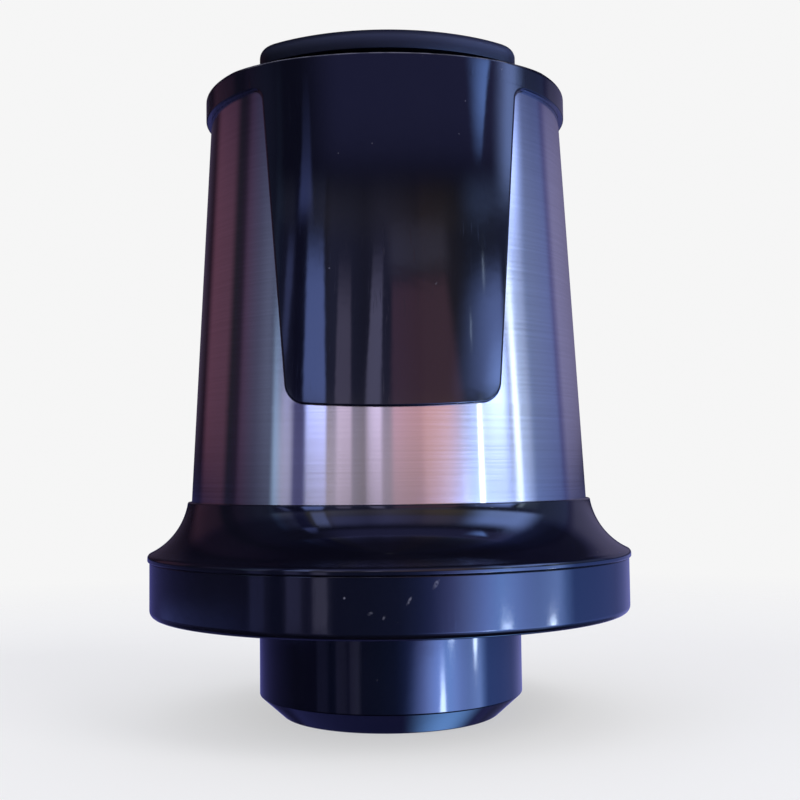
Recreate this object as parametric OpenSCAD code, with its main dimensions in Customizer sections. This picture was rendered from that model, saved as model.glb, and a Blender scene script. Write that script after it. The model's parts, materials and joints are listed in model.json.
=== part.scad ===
// Motor head of an electric food chopper, standing on its hub.
// Origin at the centre of the hub's flat underside, +Z up, front panel towards -Y. Millimetres.

/* [Hub] */
// Radius of the hub that drops into the bowl's lid
hub_r = 33; // [31:0.5:36]
// Wall of the hub around the gears
hub_wall = 2.8; // [2.2:0.1:3.4]
// Width of the chamfer round the hub's underside
hub_chamfer_w = 6; // [4:0.5:7]
// Height of the chamfer round the hub's underside
hub_chamfer_h = 5.4; // [4:0.2:7]
// Radius of the drive well in the underside
well_r = 15.5; // [14.5:0.5:17]
// Depth of the drive well
well_depth = 12; // [10:0.5:14]
// Moulded wall of the well and thickness of the hub's bottom
well_wall = 2.5; // [2:0.1:3]

/* [Rim and skirt] */
// Outer radius of the rim that covers the bowl's edge
rim_r = 60; // [56:0.5:66]
// Wall of the rim
rim_wall = 3; // [2.6:0.1:3.6]
// Depth of the channel under the rim's deck
rim_drop = 8.4; // [6:0.1:10]
// Rounding of the rim's lower edge
rim_edge_r = 1.6; // [1:0.1:2.5]
// Thickness of the deck that carries the hub
deck_t = 2.5; // [2:0.1:3.5]
// Overhang of the skirt's lip beyond the rim
lip_over = 0.5; // [0.3:0.1:1.5]
// Height of the lip's upright edge
lip_h = 2; // [1.4:0.1:3]
// Height of the skirt from the lip's underside to its upper edge
skirt_h = 14.4; // [12:0.2:18]
// Hollow of the skirt's flare, measured from its chord
skirt_sag = 1.9; // [0.8:0.1:2.4]
// Wall of the skirt
skirt_wall = 2.4; // [1.8:0.1:3]
// How far the skirt's upper edge stands proud of the steel
skirt_proud = 1; // [0.7:0.1:1.5]
// How far the steel sleeve reaches down inside the skirt
steel_tuck = 2.9; // [2:0.1:4]

/* [Steel sleeve] */
// Radius of the steel sleeve at the skirt
body_bottom_r = 49.7; // [48:0.1:52]
// Radius of the steel sleeve at the collar
body_top_r = 44.6; // [43.5:0.1:47]
// Thickness of the sheet
steel_t = 0.5; // [0.4:0.05:0.8]

/* [Collar and front panel] */
// Height of the collar's outer wall
collar_h = 6.2; // [5.8:0.1:9]
// How far the collar bulges beyond the steel
collar_over = 1.35; // [1:0.05:2]
// Rounding of the collar's edges
collar_edge_r = 1.2; // [0.6:0.1:1.5]
// How far the collar's top falls towards its front edge
collar_dip = 1.9; // [0.5:0.1:2.2]
// Distance in front of the axis at which the collar's top starts to fall
dip_start = 27; // [20:1:30]
// Half width of the front panel at the collar
panel_top_half = 29.5; // [27:0.5:32]
// Half width of the front panel at its lower end
panel_bottom_half = 23.7; // [21:0.5:26]
// Length of the front panel below the collar
panel_drop = 74; // [60:1:80]
// Rounding of the panel's lower corners
panel_corner_r = 5; // [3:0.5:8]
// How far the panel stands proud of the steel
panel_proud = 0.9; // [0.5:0.1:1.4]
// Rounding of the steel beside the panel under the collar
steel_corner_r = 3; // [1.5:0.5:4]

/* [Press plate] */
// Half width of the press plate
plate_half = 30.2; // [27:0.2:32]
// Radius of the press plate's front and back faces
plate_r = 44; // [42.8:0.1:44.2]
// Rounding of the plate's upright corners
plate_corner_r = 8; // [4:0.5:10]
// Rounding of the plate's top edge
plate_edge_r = 2.4; // [1:0.1:2.6]
// Height of the plate above the collar
plate_rise = 4.9; // [3.5:0.1:6]
// Wall of the plate's top
plate_t = 2.2; // [1.8:0.1:2.6]
// Downward travel of the plate
travel = 4; // [3:0.1:5]
// Radius of the guide stem under the plate
stem_r = 9; // [7.5:0.5:10]

/* [Gears] */
// Module of the planetary gears
gear_m = 1; // [0.9:0.05:1.1]
// Width of the planet gears
gear_face = 9; // [7:0.5:12]
// Play between the flanks of meshing teeth
backlash = 0.15; // [0.1:0.01:0.2]
// Radius of the planets' pins
pin_r = 2; // [1.6:0.1:2.5]
// Thickness of the planet carrier's plate
carrier_t = 3; // [2.4:0.1:4]
// Radius of the output shaft
output_r = 4; // [3.4:0.1:4.6]

/* [Motor] */
// Radius of the motor shaft
shaft_r = 4; // [3.6:0.1:4.4]
// Radius of the rotor's lamination stack
rotor_r = 17; // [16:0.2:18]
// Air gap between rotor and stator
air_gap = 0.6; // [0.4:0.1:1]
// Height of the lamination stack
stack_h = 28; // [24:1:34]
// Half width of the stator across its flats
stator_half = 31; // [30:0.5:33]
// Radius of the stator across its corners
stator_r = 38; // [36:0.5:39]
// Height of the windings beyond the stack
overhang = 6; // [5:0.5:8]
// Radius of the cooling fan
fan_r = 36; // [32:0.5:38]
// Height of the cooling fan
fan_h = 8.5; // [7:0.5:10]
// Number of fan blades
fan_blades = 9; // [7:1:13]
// Radius of the commutator
commutator_r = 10.5; // [9.5:0.1:11]
// Length of the commutator
commutator_l = 11; // [10:0.5:14]

/* [Housing] */
// Wall of the inner housing
housing_wall = 2; // [1.6:0.1:2.6]
// Bore of the cord gland
cord_r = 3.2; // [2.6:0.1:3.6]
// Shank radius of the casing screws
screw_r = 1.75; // [1.5:0.05:2]

/* [Clearances] */
// Radial clearance of a turning or sliding fit
run_gap = 0.05; // [0.02:0.01:0.08]
// Radial clearance of pieces that are fixed together
fit_gap = 0.05; // [0.02:0.01:0.1]
// Gap round the press plate
plate_gap = 0.4; // [0.3:0.05:0.6]
// Air between parts that move past each other
free_gap = 0.5; // [0.4:0.1:0.8]

/* [Hidden] */
$fn = 96;

// Margin by which a cutting shape passes the face it cuts
cut = 1;
gloss_black = [0.06, 0.06, 0.08];
matt_black = [0.11, 0.11, 0.12];
steel_grey = [0.72, 0.71, 0.72];
bright_steel = [0.8, 0.8, 0.82];
copper = [0.72, 0.4, 0.22];
nylon = [0.88, 0.87, 0.8];

// Gear train: twelve, eighteen and forty-eight teeth give five turns of the rotor to one of the output
sun_teeth = 12;
planet_teeth = 18;
ring_teeth = sun_teeth + 2 * planet_teeth;
planet_count = 3;
pressure_angle = 20;
addendum = 0.8 * gear_m;
dedendum = 1.05 * gear_m;
centre_r = gear_m * (sun_teeth + planet_teeth) / 2;

// Heights, built up from the hub's underside
seal_t = 2.5;
bush_l = 4;
washer_t = 0.5;
axial_play = 0.1;
chamber_z = well_depth + seal_t;
carrier_z = chamber_z + bush_l + washer_t + axial_play;
ring_z = carrier_z + carrier_t;
gear_z = ring_z + free_gap;
pin_proud = 0.4;
cover_t = 2.5;
cover_z = gear_z + gear_face + pin_proud + free_gap;
cover_sink = 1.5;
deck_z = cover_z + cover_t + cover_sink - deck_t;
flange_z = deck_z + deck_t;
flange_t = 2.5;
rim_top_z = flange_z + flange_t;
rim_bottom_z = deck_z - rim_drop;
bracket_z = rim_top_z;
bracket_t = 3;
cup_lip = 0.8;
lower_bearing_h = 7;
bearing_sink = 2.5;
lower_bearing_z = bracket_z - bearing_sink;
fan_z = lower_bearing_z + lower_bearing_h + free_gap;
winding_z = fan_z + fan_h + 3 * free_gap;
stack_z = winding_z + overhang;
stack_top = stack_z + stack_h;
riser_gap = 2;
commutator_z = stack_top + overhang + riser_gap;
upper_bearing_h = 6;
journal_gap = 0.2;
upper_bearing_z = commutator_z + commutator_l + cup_lip + 2 * journal_gap;
bar_t = 3;
bar_top = upper_bearing_z + upper_bearing_h;
sheet_t = 1.5;
switch_z = bar_top + 2 * sheet_t;
switch_h = 15.9;
switch_top = switch_z + switch_h;

// Switch lever: it is pressed flat as the plate goes down, and rests tilted up by rest_tilt
lever_arm = 14;
lever_reach = 19;
lever_t = 0.8;
lever_w = 4;
plunger_arm = 6;
pivot_x = -lever_arm;
pivot_rise = 1.4;
pivot_z = switch_top + pivot_rise;
rest_tilt = travel / lever_arm * 180 / PI;
lever_top = pivot_z + lever_arm * tan(rest_tilt) + lever_t / 2 / cos(rest_tilt);
lever_tip_top = pivot_z + lever_reach * tan(rest_tilt) + lever_t / 2;

// Collar: the spring well hangs below the recess that takes the press plate
spring_well_z = lever_tip_top + 2 * free_gap;
spring_seat_z = spring_well_z + sheet_t;
spring_well_depth = 8;
recess_z = spring_seat_z + spring_well_depth;
plate_lap = 0.2;
stop_gap = 0.3;
collar_top = recess_z + travel + stop_gap + plate_lap;
collar_bottom = collar_top - collar_h;
plate_bottom = collar_top - plate_lap;
plate_top = collar_top + plate_rise;
plate_under = plate_top - plate_t;
nub_r = 2.2;
nub_gap = 0.3;
nub_z = lever_top + nub_gap;
stem_z = lever_tip_top + 2 * free_gap;
spring_wire_r = 0.6;
spring_offset = 4.2;
spring_r = stem_r + spring_offset;
guide_wall = 1.8;
spring_room = 2.8;
spring_well_r = spring_r + spring_room;

// Steel sleeve as a straight cone
skirt_top = rim_top_z + skirt_h;
taper = (body_bottom_r - body_top_r) / (collar_bottom - skirt_top);
steel_bottom = skirt_top - steel_tuck;
steel_rise = 1;
steel_top = collar_bottom + steel_rise;
function steel_at(z) = body_bottom_r - taper * (z - skirt_top);
housing_top = collar_bottom - fit_gap;
tube_step = 1.7;
tube_r = body_bottom_r - tube_step;
collar_r = body_top_r + collar_over;
panel_z = collar_bottom - panel_drop;

// Screw positions
boss_wall = 1.85;
boss_r = screw_r + boss_wall;
boss_gap = 0.6;
boss_inset = 0.4;
hub_screw_r = hub_r + boss_r + boss_gap;
hub_screw_angles = [45, 135, 225, 315];
base_screw_r = tube_r - boss_r - boss_inset;
base_screw_angles = [20, 110, 200, 290];
collar_screw_xy = [16, 32];
head_ratio = 1.7;
head_h = 2;
leg_t = 3;
motor_screw_r = 2;
motor_screw_x = stator_half - leg_t - head_ratio * motor_screw_r - free_gap;
ledge_half = 9;
mount_h = 3;
mount_r = 6;
gland_rise = 14;
gland_z = skirt_top + gland_rise;
gland_wall = 1.8;
gland_r = cord_r + gland_wall;
gland_flange_w = 2.2;
gland_flange_r = gland_r + gland_flange_w;
gland_flange_t = 2.5;

// Plain hollow cylinder
module tube(r_out, r_in, z, h) {
    translate([0, 0, z])
        difference() {
            cylinder(r = r_out, h = h);
            translate([0, 0, -cut])
                cylinder(r = r_in, h = h + 2 * cut);
        }
}

// Solid cone that follows the steel sleeve, grown by the given amount
module sleeve_solid(z0, z1, grow) {
    translate([0, 0, z0])
        cylinder(r1 = steel_at(z0) + grow, r2 = steel_at(z1) + grow, h = z1 - z0);
}

// Points of an arc
function arc(centre, r, a0, a1, steps = 8) =
    [for (i = [0 : steps]) centre + r * [cos(a0 + (a1 - a0) * i / steps), sin(a0 + (a1 - a0) * i / steps)]];

// Involute geometry of a gear flank
function flank_roll(r, base_r) = r <= base_r ? 0 : sqrt(pow(r / base_r, 2) - 1) * 180 / PI - acos(base_r / r);
function half_tooth(r, pitch_r, teeth, slack) =
    90 / teeth - slack / 4 / pitch_r * 180 / PI
    + flank_roll(pitch_r, pitch_r * cos(pressure_angle)) - flank_roll(r, pitch_r * cos(pressure_angle));
flank_steps = 3;

// Outline of an external gear, with a tooth centred on +X
module gear_outline(teeth, above, below, slack) {
    pitch_r = gear_m * teeth / 2;
    tip_r = pitch_r + above;
    root_r = pitch_r - below;
    radii = [for (i = [0 : flank_steps]) root_r + (tip_r - root_r) * i / flank_steps];
    polygon([
        for (tooth = [0 : teeth - 1])
        for (side = [-1, 1])
        for (i = [0 : flank_steps])
        let (r = side < 0 ? radii[i] : radii[flank_steps - i])
        let (a = tooth * 360 / teeth + side * half_tooth(r, pitch_r, teeth, slack))
        r * [cos(a), sin(a)]
    ]);
}

// Unbroken helical wire along +Z, swept ring by ring
module helix(r, wire_r, h, turns) {
    sides = 6;
    rings_per_turn = 8;
    last = turns * rings_per_turn;
    points = [
        for (i = [0 : last])
        for (s = [0 : sides - 1])
        let (turn = i * 360 / rings_per_turn, a = s * 360 / sides)
        let (rr = r + wire_r * cos(a))
        [rr * cos(turn), rr * sin(turn), wire_r + (h - 2 * wire_r) * i / last + wire_r * sin(a)]
    ];
    walls = [
        for (i = [0 : last - 1])
        for (s = [0 : sides - 1])
        for (half = [0, 1])
        let (a = i * sides + s, b = i * sides + (s + 1) % sides)
        half == 0 ? [a, a + sides, b] : [b, a + sides, b + sides]
    ];
    ends = [
        for (s = [1 : sides - 2])
        for (end = [0, last])
        end == 0 ? [0, s, s + 1] : [end * sides, end * sides + s + 1, end * sides + s]
    ];
    polyhedron(points, concat(walls, ends));
}

// Screw along +Z: a shank below the head's seat and a round head with a cross recess above it
module screw(r, shank, head) {
    difference() {
        union() {
            translate([0, 0, -shank])
                cylinder(r = r, h = shank + head / 2);
            cylinder(r = r * head_ratio, h = head);
        }
        for (turn = [0, 90])
            rotate(turn)
                translate([-r, -r / 4, head / 2])
                    cube([2 * r, r / 2, head]);
    }
}

// Points of a shallow arc from p0 to p1 that bulges to the left by sag, moved outwards by grow
function bowed(p0, p1, sag, grow = 0, from = -1, to = 1, steps = 10) =
    let (chord = p1 - p0, len = norm(chord), along = chord / len, left = [-along.y, along.x])
    let (r = len * len / (8 * sag) + sag / 2, half = asin(len / 2 / r))
    let (centre = (p0 + p1) / 2 - left * (r - sag))
    [
        for (i = [0 : steps])
        let (a = half * (from + (to - from) * i / steps))
        centre + (r + grow) * (left * cos(a) + along * sin(a))
    ];

// Copies of a child on a circle
module on_circle(r, angles) {
    for (a = angles)
        rotate(a)
            translate([r, 0, 0])
                children();
}

// Casing

bush_wall = 2.5;
bush_r = output_r + bush_wall;
bush_seat = 3;
seal_wall = 3.5;
seal_r = output_r + seal_wall;
flange_over = 1.5;
flange_r = hub_r + flange_over;
hub_bore = hub_r - hub_wall;
trough_shelf = 2.7;
trough_r = hub_bore - trough_shelf;
hub_gap = 0.15;
hub_boss_h = 5;
neck_in = 0.5;
spigot_top = deck_z - hub_boss_h - free_gap;

module hub() {
    color(gloss_black)
        difference() {
            union() {
                rotate_extrude()
                    polygon([
                        [well_r, 0],
                        [hub_r - hub_chamfer_w, 0],
                        [hub_r, hub_chamfer_h],
                        [hub_r, spigot_top],
                        [hub_r - neck_in, spigot_top],
                        [hub_r - neck_in, flange_z],
                        [flange_r, flange_z],
                        [flange_r, rim_top_z],
                        [hub_bore, rim_top_z],
                        [hub_bore, ring_z],
                        [trough_r, ring_z],
                        [trough_r, well_wall],
                        [well_r + well_wall, well_wall],
                        [well_r + well_wall, chamber_z],
                        [bush_r + bush_seat, chamber_z],
                        [bush_r + bush_seat, chamber_z + bush_l],
                        [bush_r, chamber_z + bush_l],
                        [bush_r, chamber_z],
                        [seal_r, chamber_z],
                        [seal_r, well_depth],
                        [well_r, well_depth]
                    ]);
                on_circle(hub_screw_r, hub_screw_angles)
                    translate([0, 0, flange_z])
                        cylinder(r = boss_r, h = flange_t);
            }
            on_circle(hub_screw_r, hub_screw_angles)
                translate([0, 0, flange_z - cut])
                    cylinder(r = screw_r + fit_gap, h = flange_t + 2 * cut);
        }
}

rim_bore = rim_r - rim_wall;

module base_ring() {
    color(gloss_black)
        difference() {
            union() {
                rotate_extrude()
                    polygon(concat(
                        [
                            [hub_r + hub_gap, flange_z],
                            [hub_r + hub_gap, deck_z],
                            [rim_bore, deck_z],
                            [rim_bore, rim_bottom_z]
                        ],
                        arc([rim_r - rim_edge_r, rim_bottom_z + rim_edge_r], rim_edge_r, -90, 0),
                        [
                            [rim_r, rim_top_z],
                            [rim_bore, rim_top_z],
                            [rim_bore, flange_z]
                        ]
                    ));
                on_circle(hub_screw_r, hub_screw_angles)
                    translate([0, 0, deck_z - hub_boss_h])
                        cylinder(r = boss_r, h = hub_boss_h + deck_t / 2);
            }
            on_circle(hub_screw_r, hub_screw_angles)
                translate([0, 0, deck_z - hub_boss_h + cut])
                    cylinder(r = screw_r + fit_gap, h = hub_boss_h + deck_t);
            on_circle(base_screw_r, base_screw_angles)
                translate([0, 0, deck_z - cut])
                    cylinder(r = screw_r + fit_gap, h = deck_t + 2 * cut);
        }
}

skirt_tongue = 2.2;
tongue_h = 1.5;
tongue_r = rim_bore - fit_gap;
lip_r = rim_r + lip_over;
skirt_top_r = body_bottom_r + skirt_proud;
// Stretch of the flare that its inner face follows, from -1 at the lip to 1 at the top
skirt_inner = [0.3, -0.4];

module skirt() {
    lip_corner = [lip_r, rim_top_z + lip_h];
    top_corner = [skirt_top_r, skirt_top];
    color(gloss_black)
        rotate_extrude()
            polygon(concat(
                [[lip_r, rim_top_z]],
                bowed(lip_corner, top_corner, skirt_sag),
                [
                    [steel_at(skirt_top) + fit_gap, skirt_top],
                    [steel_at(steel_bottom) + fit_gap, steel_bottom],
                    [tube_r + hub_gap, steel_bottom],
                    [tube_r + hub_gap, steel_bottom - skirt_wall / 2]
                ],
                bowed(lip_corner, top_corner, skirt_sag, skirt_wall, skirt_inner[0], skirt_inner[1]),
                [
                    [tongue_r - skirt_tongue, rim_top_z],
                    [tongue_r - skirt_tongue, rim_top_z - tongue_h],
                    [tongue_r, rim_top_z - tongue_h],
                    [tongue_r, rim_top_z]
                ]
            ));
}

panel_bow = 0.8;
// Stretch of the bow that lies between the lower corners
bow_share = 0.8;
panel_lean = atan((panel_top_half - panel_bottom_half) / panel_drop);

// Front view of the panel: rounded below, running out into the collar with a fillet on each side
module panel_outline(grow) {
    low = panel_z - grow;
    low_r = panel_corner_r + grow;
    low_half = panel_bottom_half + grow;
    low_x = low_half + low_r * tan(panel_lean) - low_r / cos(panel_lean);
    fillet_r = steel_corner_r - grow;
    fillet_z = collar_bottom - fillet_r;
    fillet_x = low_half + (fillet_z - low) * tan(panel_lean) + fillet_r / cos(panel_lean);
    right = concat(
        arc([low_x, low + low_r], low_r, -90, -panel_lean),
        arc([fillet_x, fillet_z], fillet_r, 180 - panel_lean, 90),
        [[fillet_x, steel_top + cut]]
    );
    left = [for (i = [len(right) - 1 : -1 : 0]) [-right[i].x, right[i].y]];
    polygon(concat(right, left, bowed([low_x, low], [-low_x, low], panel_bow, 0, bow_share, -bow_share)));
}

module panel_prism(grow) {
    rotate([90, 0, 0])
        linear_extrude(height = 2 * body_bottom_r)
            panel_outline(grow);
}

module gland_hole() {
    translate([0, tube_r - 2 * gland_r, gland_z])
        rotate([-90, 0, 0])
            cylinder(r = gland_r + fit_gap, h = 4 * gland_r);
}

module steel_wrap() {
    color(steel_grey)
        difference() {
            sleeve_solid(steel_bottom, steel_top, 0);
            sleeve_solid(steel_bottom - cut, steel_top + cut, -steel_t);
            panel_prism(fit_gap);
            gland_hole();
        }
}

// Top view of the press plate: round at front and back, straight at the sides
module plate_outline(grow) {
    r = plate_r + grow;
    half = plate_half + grow;
    corner = plate_corner_r + grow;
    cx = half - corner;
    cy = sqrt(pow(r - corner, 2) - cx * cx);
    a = atan2(cy, cx);
    polygon(concat(
        arc([cx, cy], corner, 0, a, 6),
        arc([0, 0], r, a, 180 - a, 16),
        arc([-cx, cy], corner, 180 - a, 180, 6),
        arc([-cx, -cy], corner, 180, 180 + a, 6),
        arc([0, 0], r, 180 + a, 360 - a, 16),
        arc([cx, -cy], corner, 360 - a, 360, 6)
    ));
}

collar_wall = 1.8;

module collar_disc() {
    rotate_extrude()
        polygon(concat(
            [[0, collar_bottom]],
            arc([collar_r - collar_edge_r, collar_bottom + collar_edge_r], collar_edge_r, -90, 0),
            arc([collar_r - collar_edge_r, collar_top - collar_edge_r], collar_edge_r, 0, 90),
            [[0, collar_top]]
        ));
}

// Space above the front of the collar, whose top slopes down towards its edge
module front_slope() {
    translate([0, -dip_start, collar_top])
        rotate([atan(collar_dip / (collar_r - dip_start)), 0, 0])
            translate([-2 * collar_r, -2 * collar_r, 0])
                cube([4 * collar_r, 2 * collar_r, collar_h]);
}

// Hollows under the collar beside the press plate
module collar_hollows() {
    inner = plate_half + plate_gap + collar_wall;
    for (side = [0, 180])
        rotate(side)
            intersection() {
                translate([0, 0, collar_bottom - cut])
                    cylinder(r = body_top_r - steel_t - collar_wall, h = collar_h - collar_wall + cut);
                translate([inner, -collar_r, collar_bottom - cut])
                    cube([collar_r, 2 * collar_r, collar_h]);
            }
}

module at_collar_screws() {
    for (sx = [-1, 1])
        for (sy = [-1, 1])
            translate([sx * collar_screw_xy.x, sy * collar_screw_xy.y, 0])
                children();
}

module collar_panel() {
    groove_top = steel_top + 2 * fit_gap;
    guide_r = stem_r + run_gap;
    color(gloss_black) {
        difference() {
            union() {
                collar_disc();
                translate([0, 0, spring_well_z])
                    cylinder(r = spring_well_r + sheet_t, h = recess_z - spring_well_z);
            }
            translate([0, 0, recess_z])
                linear_extrude(height = collar_h)
                    plate_outline(plate_gap);
            front_slope();
            collar_hollows();
            tube(spring_well_r, guide_r + guide_wall, spring_seat_z, recess_z - spring_seat_z + cut);
            translate([0, 0, spring_well_z - cut])
                cylinder(r = guide_r, h = collar_top - spring_well_z);
            difference() {
                sleeve_solid(collar_bottom - cut, groove_top, fit_gap);
                sleeve_solid(collar_bottom - 2 * cut, groove_top + cut, -steel_t - fit_gap);
            }
            at_collar_screws()
                translate([0, 0, collar_bottom - cut])
                    cylinder(r = screw_r + fit_gap, h = collar_h);
        }
        intersection() {
            panel_prism(0);
            difference() {
                sleeve_solid(panel_z - 2 * cut, groove_top, panel_proud);
                sleeve_solid(panel_z - 3 * cut, groove_top + cut, -steel_t);
            }
        }
    }
}

plate_wall = 2.2;
edge_steps = 4;
layer_t = 0.01;

module top_button() {
    color(matt_black) {
        difference() {
            hull() {
                translate([0, 0, plate_bottom])
                    linear_extrude(height = plate_lap + plate_rise - plate_edge_r)
                        plate_outline(0);
                for (i = [1 : edge_steps]) {
                    a = 90 * i / edge_steps;
                    translate([0, 0, plate_top - layer_t - plate_edge_r * (1 - sin(a))])
                        linear_extrude(height = layer_t)
                            plate_outline(-plate_edge_r * (1 - cos(a)));
                }
            }
            translate([0, 0, plate_bottom - cut])
                linear_extrude(height = plate_under - plate_bottom + cut)
                    plate_outline(-plate_wall);
        }
        translate([0, 0, stem_z])
            cylinder(r = stem_r, h = plate_under + plate_t / 4 - stem_z);
        translate([0, 0, nub_z + nub_r]) {
            sphere(r = nub_r);
            cylinder(r = nub_r, h = stem_z - nub_z - nub_r + cut);
        }
    }
}

spring_turns = 5;

module button_spring() {
    color(bright_steel)
        translate([0, 0, spring_seat_z + fit_gap])
            helix(spring_r, spring_wire_r, plate_under - spring_seat_z - 2 * fit_gap, spring_turns);
}

ledge_x = motor_screw_x - mount_r - free_gap;
ledge_z = winding_z - 2 * free_gap;
ledge_top = stack_z - mount_h;
base_boss_h = 12;
post_h = 14;

// Shape inside the inner housing's wall, to which ledges and webs are cut
module housing_inside(z0, z1) {
    sleeve_solid(z0, z1, -steel_t - fit_gap - housing_wall / 2);
}

module inner_housing() {
    step_z = steel_bottom + housing_wall;
    color(matt_black)
        difference() {
            union() {
                difference() {
                    union() {
                        translate([0, 0, flange_z])
                            cylinder(r = tube_r, h = step_z - flange_z);
                        sleeve_solid(steel_bottom, housing_top, -steel_t - fit_gap);
                    }
                    translate([0, 0, flange_z - cut])
                        cylinder(r = tube_r - housing_wall, h = step_z - flange_z + 2 * cut);
                    sleeve_solid(step_z, housing_top + cut, -steel_t - fit_gap - housing_wall);
                }
                on_circle(base_screw_r, base_screw_angles)
                    translate([0, 0, flange_z])
                        cylinder(r = boss_r, h = base_boss_h);
                intersection() {
                    housing_inside(ledge_z, ledge_top);
                    for (side = [0, 180])
                        rotate(side)
                            translate([ledge_x, -ledge_half, ledge_z])
                                cube([tube_r, 2 * ledge_half, ledge_top - ledge_z]);
                }
                at_collar_screws()
                    translate([0, 0, housing_top - post_h])
                        cylinder(r = boss_r, h = post_h);
                intersection() {
                    housing_inside(housing_top - post_h, housing_top);
                    for (sx = [-1, 1])
                        for (sy = [-1, 1])
                            rotate(atan2(sy * collar_screw_xy.y, sx * collar_screw_xy.x))
                                translate([norm(collar_screw_xy), -collar_wall / 2, housing_top - post_h])
                                    cube([tube_r, collar_wall, post_h]);
                }
            }
            gland_hole();
            on_circle(base_screw_r, base_screw_angles)
                translate([0, 0, flange_z - cut])
                    cylinder(r = screw_r + fit_gap, h = base_boss_h);
            at_collar_screws()
                translate([0, 0, housing_top - post_h + 2 * cut])
                    cylinder(r = screw_r + fit_gap, h = post_h);
            for (sx = [-1, 1])
                translate([sx * motor_screw_x, 0, ledge_z - cut])
                    cylinder(r = motor_screw_r + fit_gap, h = ledge_top - ledge_z + 2 * cut);
        }
}

gland_tail = 2;

module cord_gland() {
    wall_y = steel_at(gland_z);
    inside_y = wall_y - steel_t - housing_wall - gland_tail;
    color(matt_black)
        difference() {
            union() {
                translate([0, inside_y, gland_z])
                    rotate([-90, 0, 0])
                        cylinder(r = gland_r, h = wall_y + gland_flange_t - inside_y);
                difference() {
                    translate([0, wall_y - gland_flange_t, gland_z])
                        rotate([-90, 0, 0])
                            cylinder(r = gland_flange_r, h = 2 * gland_flange_t);
                    sleeve_solid(gland_z - 2 * gland_flange_r, gland_z + 2 * gland_flange_r, fit_gap);
                }
            }
            translate([0, inside_y - cut, gland_z])
                rotate([-90, 0, 0])
                    cylinder(r = cord_r, h = wall_y);
        }
}

module hub_screws() {
    color(bright_steel)
        on_circle(hub_screw_r, hub_screw_angles)
            translate([0, 0, bracket_z + bracket_t])
                screw(screw_r, bracket_t + flange_t + deck_t + hub_boss_h - 2 * cut, head_h);
}

module base_screws() {
    color(bright_steel)
        on_circle(base_screw_r, base_screw_angles)
            translate([0, 0, deck_z])
                rotate([180, 0, 0])
                    screw(screw_r, deck_t + base_boss_h - 3 * cut, head_h);
}

module collar_screws() {
    color(bright_steel)
        at_collar_screws()
            translate([0, 0, recess_z])
                screw(screw_r, recess_z - collar_bottom + post_h - 4 * cut, head_h);
}

// Gearbox and output

module ring_gear() {
    color(nylon)
        difference() {
            translate([0, 0, ring_z])
                cylinder(r = hub_bore - fit_gap, h = cover_z - ring_z);
            translate([0, 0, ring_z - cut])
                linear_extrude(height = cover_z - ring_z + 2 * cut)
                    rotate(180 / ring_teeth)
                        gear_outline(ring_teeth, dedendum, addendum, -backlash);
        }
}

module gearbox_cover() {
    color(matt_black)
        tube(hub_bore - fit_gap, gear_m * sun_teeth / 2 + addendum + free_gap, cover_z, cover_t);
}

module output_bush() {
    color("goldenrod")
        tube(bush_r - fit_gap, output_r + run_gap, chamber_z, bush_l);
}

module shaft_seal() {
    color(matt_black)
        tube(seal_r - fit_gap, output_r + run_gap, well_depth, seal_t);
}

washer_over = 2;

module thrust_washer() {
    color(bright_steel)
        tube(bush_r + washer_over, output_r + run_gap, chamber_z + bush_l, washer_t);
}

coupling_r = 9.5;
coupling_z = 1;
coupling_gap = 0.3;
socket_r = 3.6;
socket_depth = 6.2;
slot_w = 3;
slot_depth = 2.2;
coupling_top = well_depth - coupling_gap;
carrier_rim = 3.5;
carrier_r = centre_r + pin_r + carrier_rim;
planet_angles = [for (i = [0 : planet_count - 1]) i * 360 / planet_count];
window_angles = [for (a = planet_angles) a + 180 / planet_count];

module planet_carrier() {
    color(bright_steel)
        difference() {
            union() {
                translate([0, 0, carrier_z])
                    cylinder(r = carrier_r, h = carrier_t);
                translate([0, 0, coupling_z + socket_depth])
                    cylinder(r = output_r, h = carrier_z + carrier_t / 2 - coupling_z - socket_depth);
            }
            on_circle(centre_r, planet_angles)
                translate([0, 0, carrier_z - cut])
                    cylinder(r = pin_r + fit_gap, h = carrier_t + 2 * cut);
            on_circle(centre_r, window_angles)
                translate([0, 0, carrier_z - cut])
                    cylinder(r = 2 * pin_r, h = carrier_t + 2 * cut);
        }
}

module planet_pins() {
    color(bright_steel)
        on_circle(centre_r, planet_angles)
            translate([0, 0, carrier_z])
                cylinder(r = pin_r, h = cover_z - free_gap - carrier_z);
}

module planet_gear(angle) {
    color(nylon)
        rotate(angle)
            translate([centre_r, 0, gear_z])
                difference() {
                    linear_extrude(height = gear_face)
                        rotate(180 / planet_teeth)
                            gear_outline(planet_teeth, addendum, dedendum, backlash);
                    translate([0, 0, -cut])
                        cylinder(r = pin_r + run_gap, h = gear_face + 2 * cut);
                }
}

module planet_gear_1() {
    planet_gear(planet_angles[0]);
}

module planet_gear_2() {
    planet_gear(planet_angles[1]);
}

module planet_gear_3() {
    planet_gear(planet_angles[2]);
}

module drive_coupling() {
    color(matt_black)
        difference() {
            translate([0, 0, coupling_z])
                cylinder(r = coupling_r, h = coupling_top - coupling_z);
            translate([0, 0, coupling_z - cut])
                cylinder(r = socket_r, h = socket_depth + 2 * cut);
            translate([0, 0, coupling_z + socket_depth])
                cylinder(r = output_r + fit_gap, h = coupling_top);
            for (turn = [0, 90])
                rotate(turn)
                    translate([-coupling_r - cut, -slot_w / 2, coupling_z - cut])
                        cube([2 * coupling_r + 2 * cut, slot_w, slot_depth + cut]);
        }
}

// Motor

lower_bearing_r = 11;
upper_bearing_r = 9.5;
cup_wall = 2.5;
spoke_w = 8;
journal_r = shaft_r - 1;
race_w = 1.2;

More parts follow.
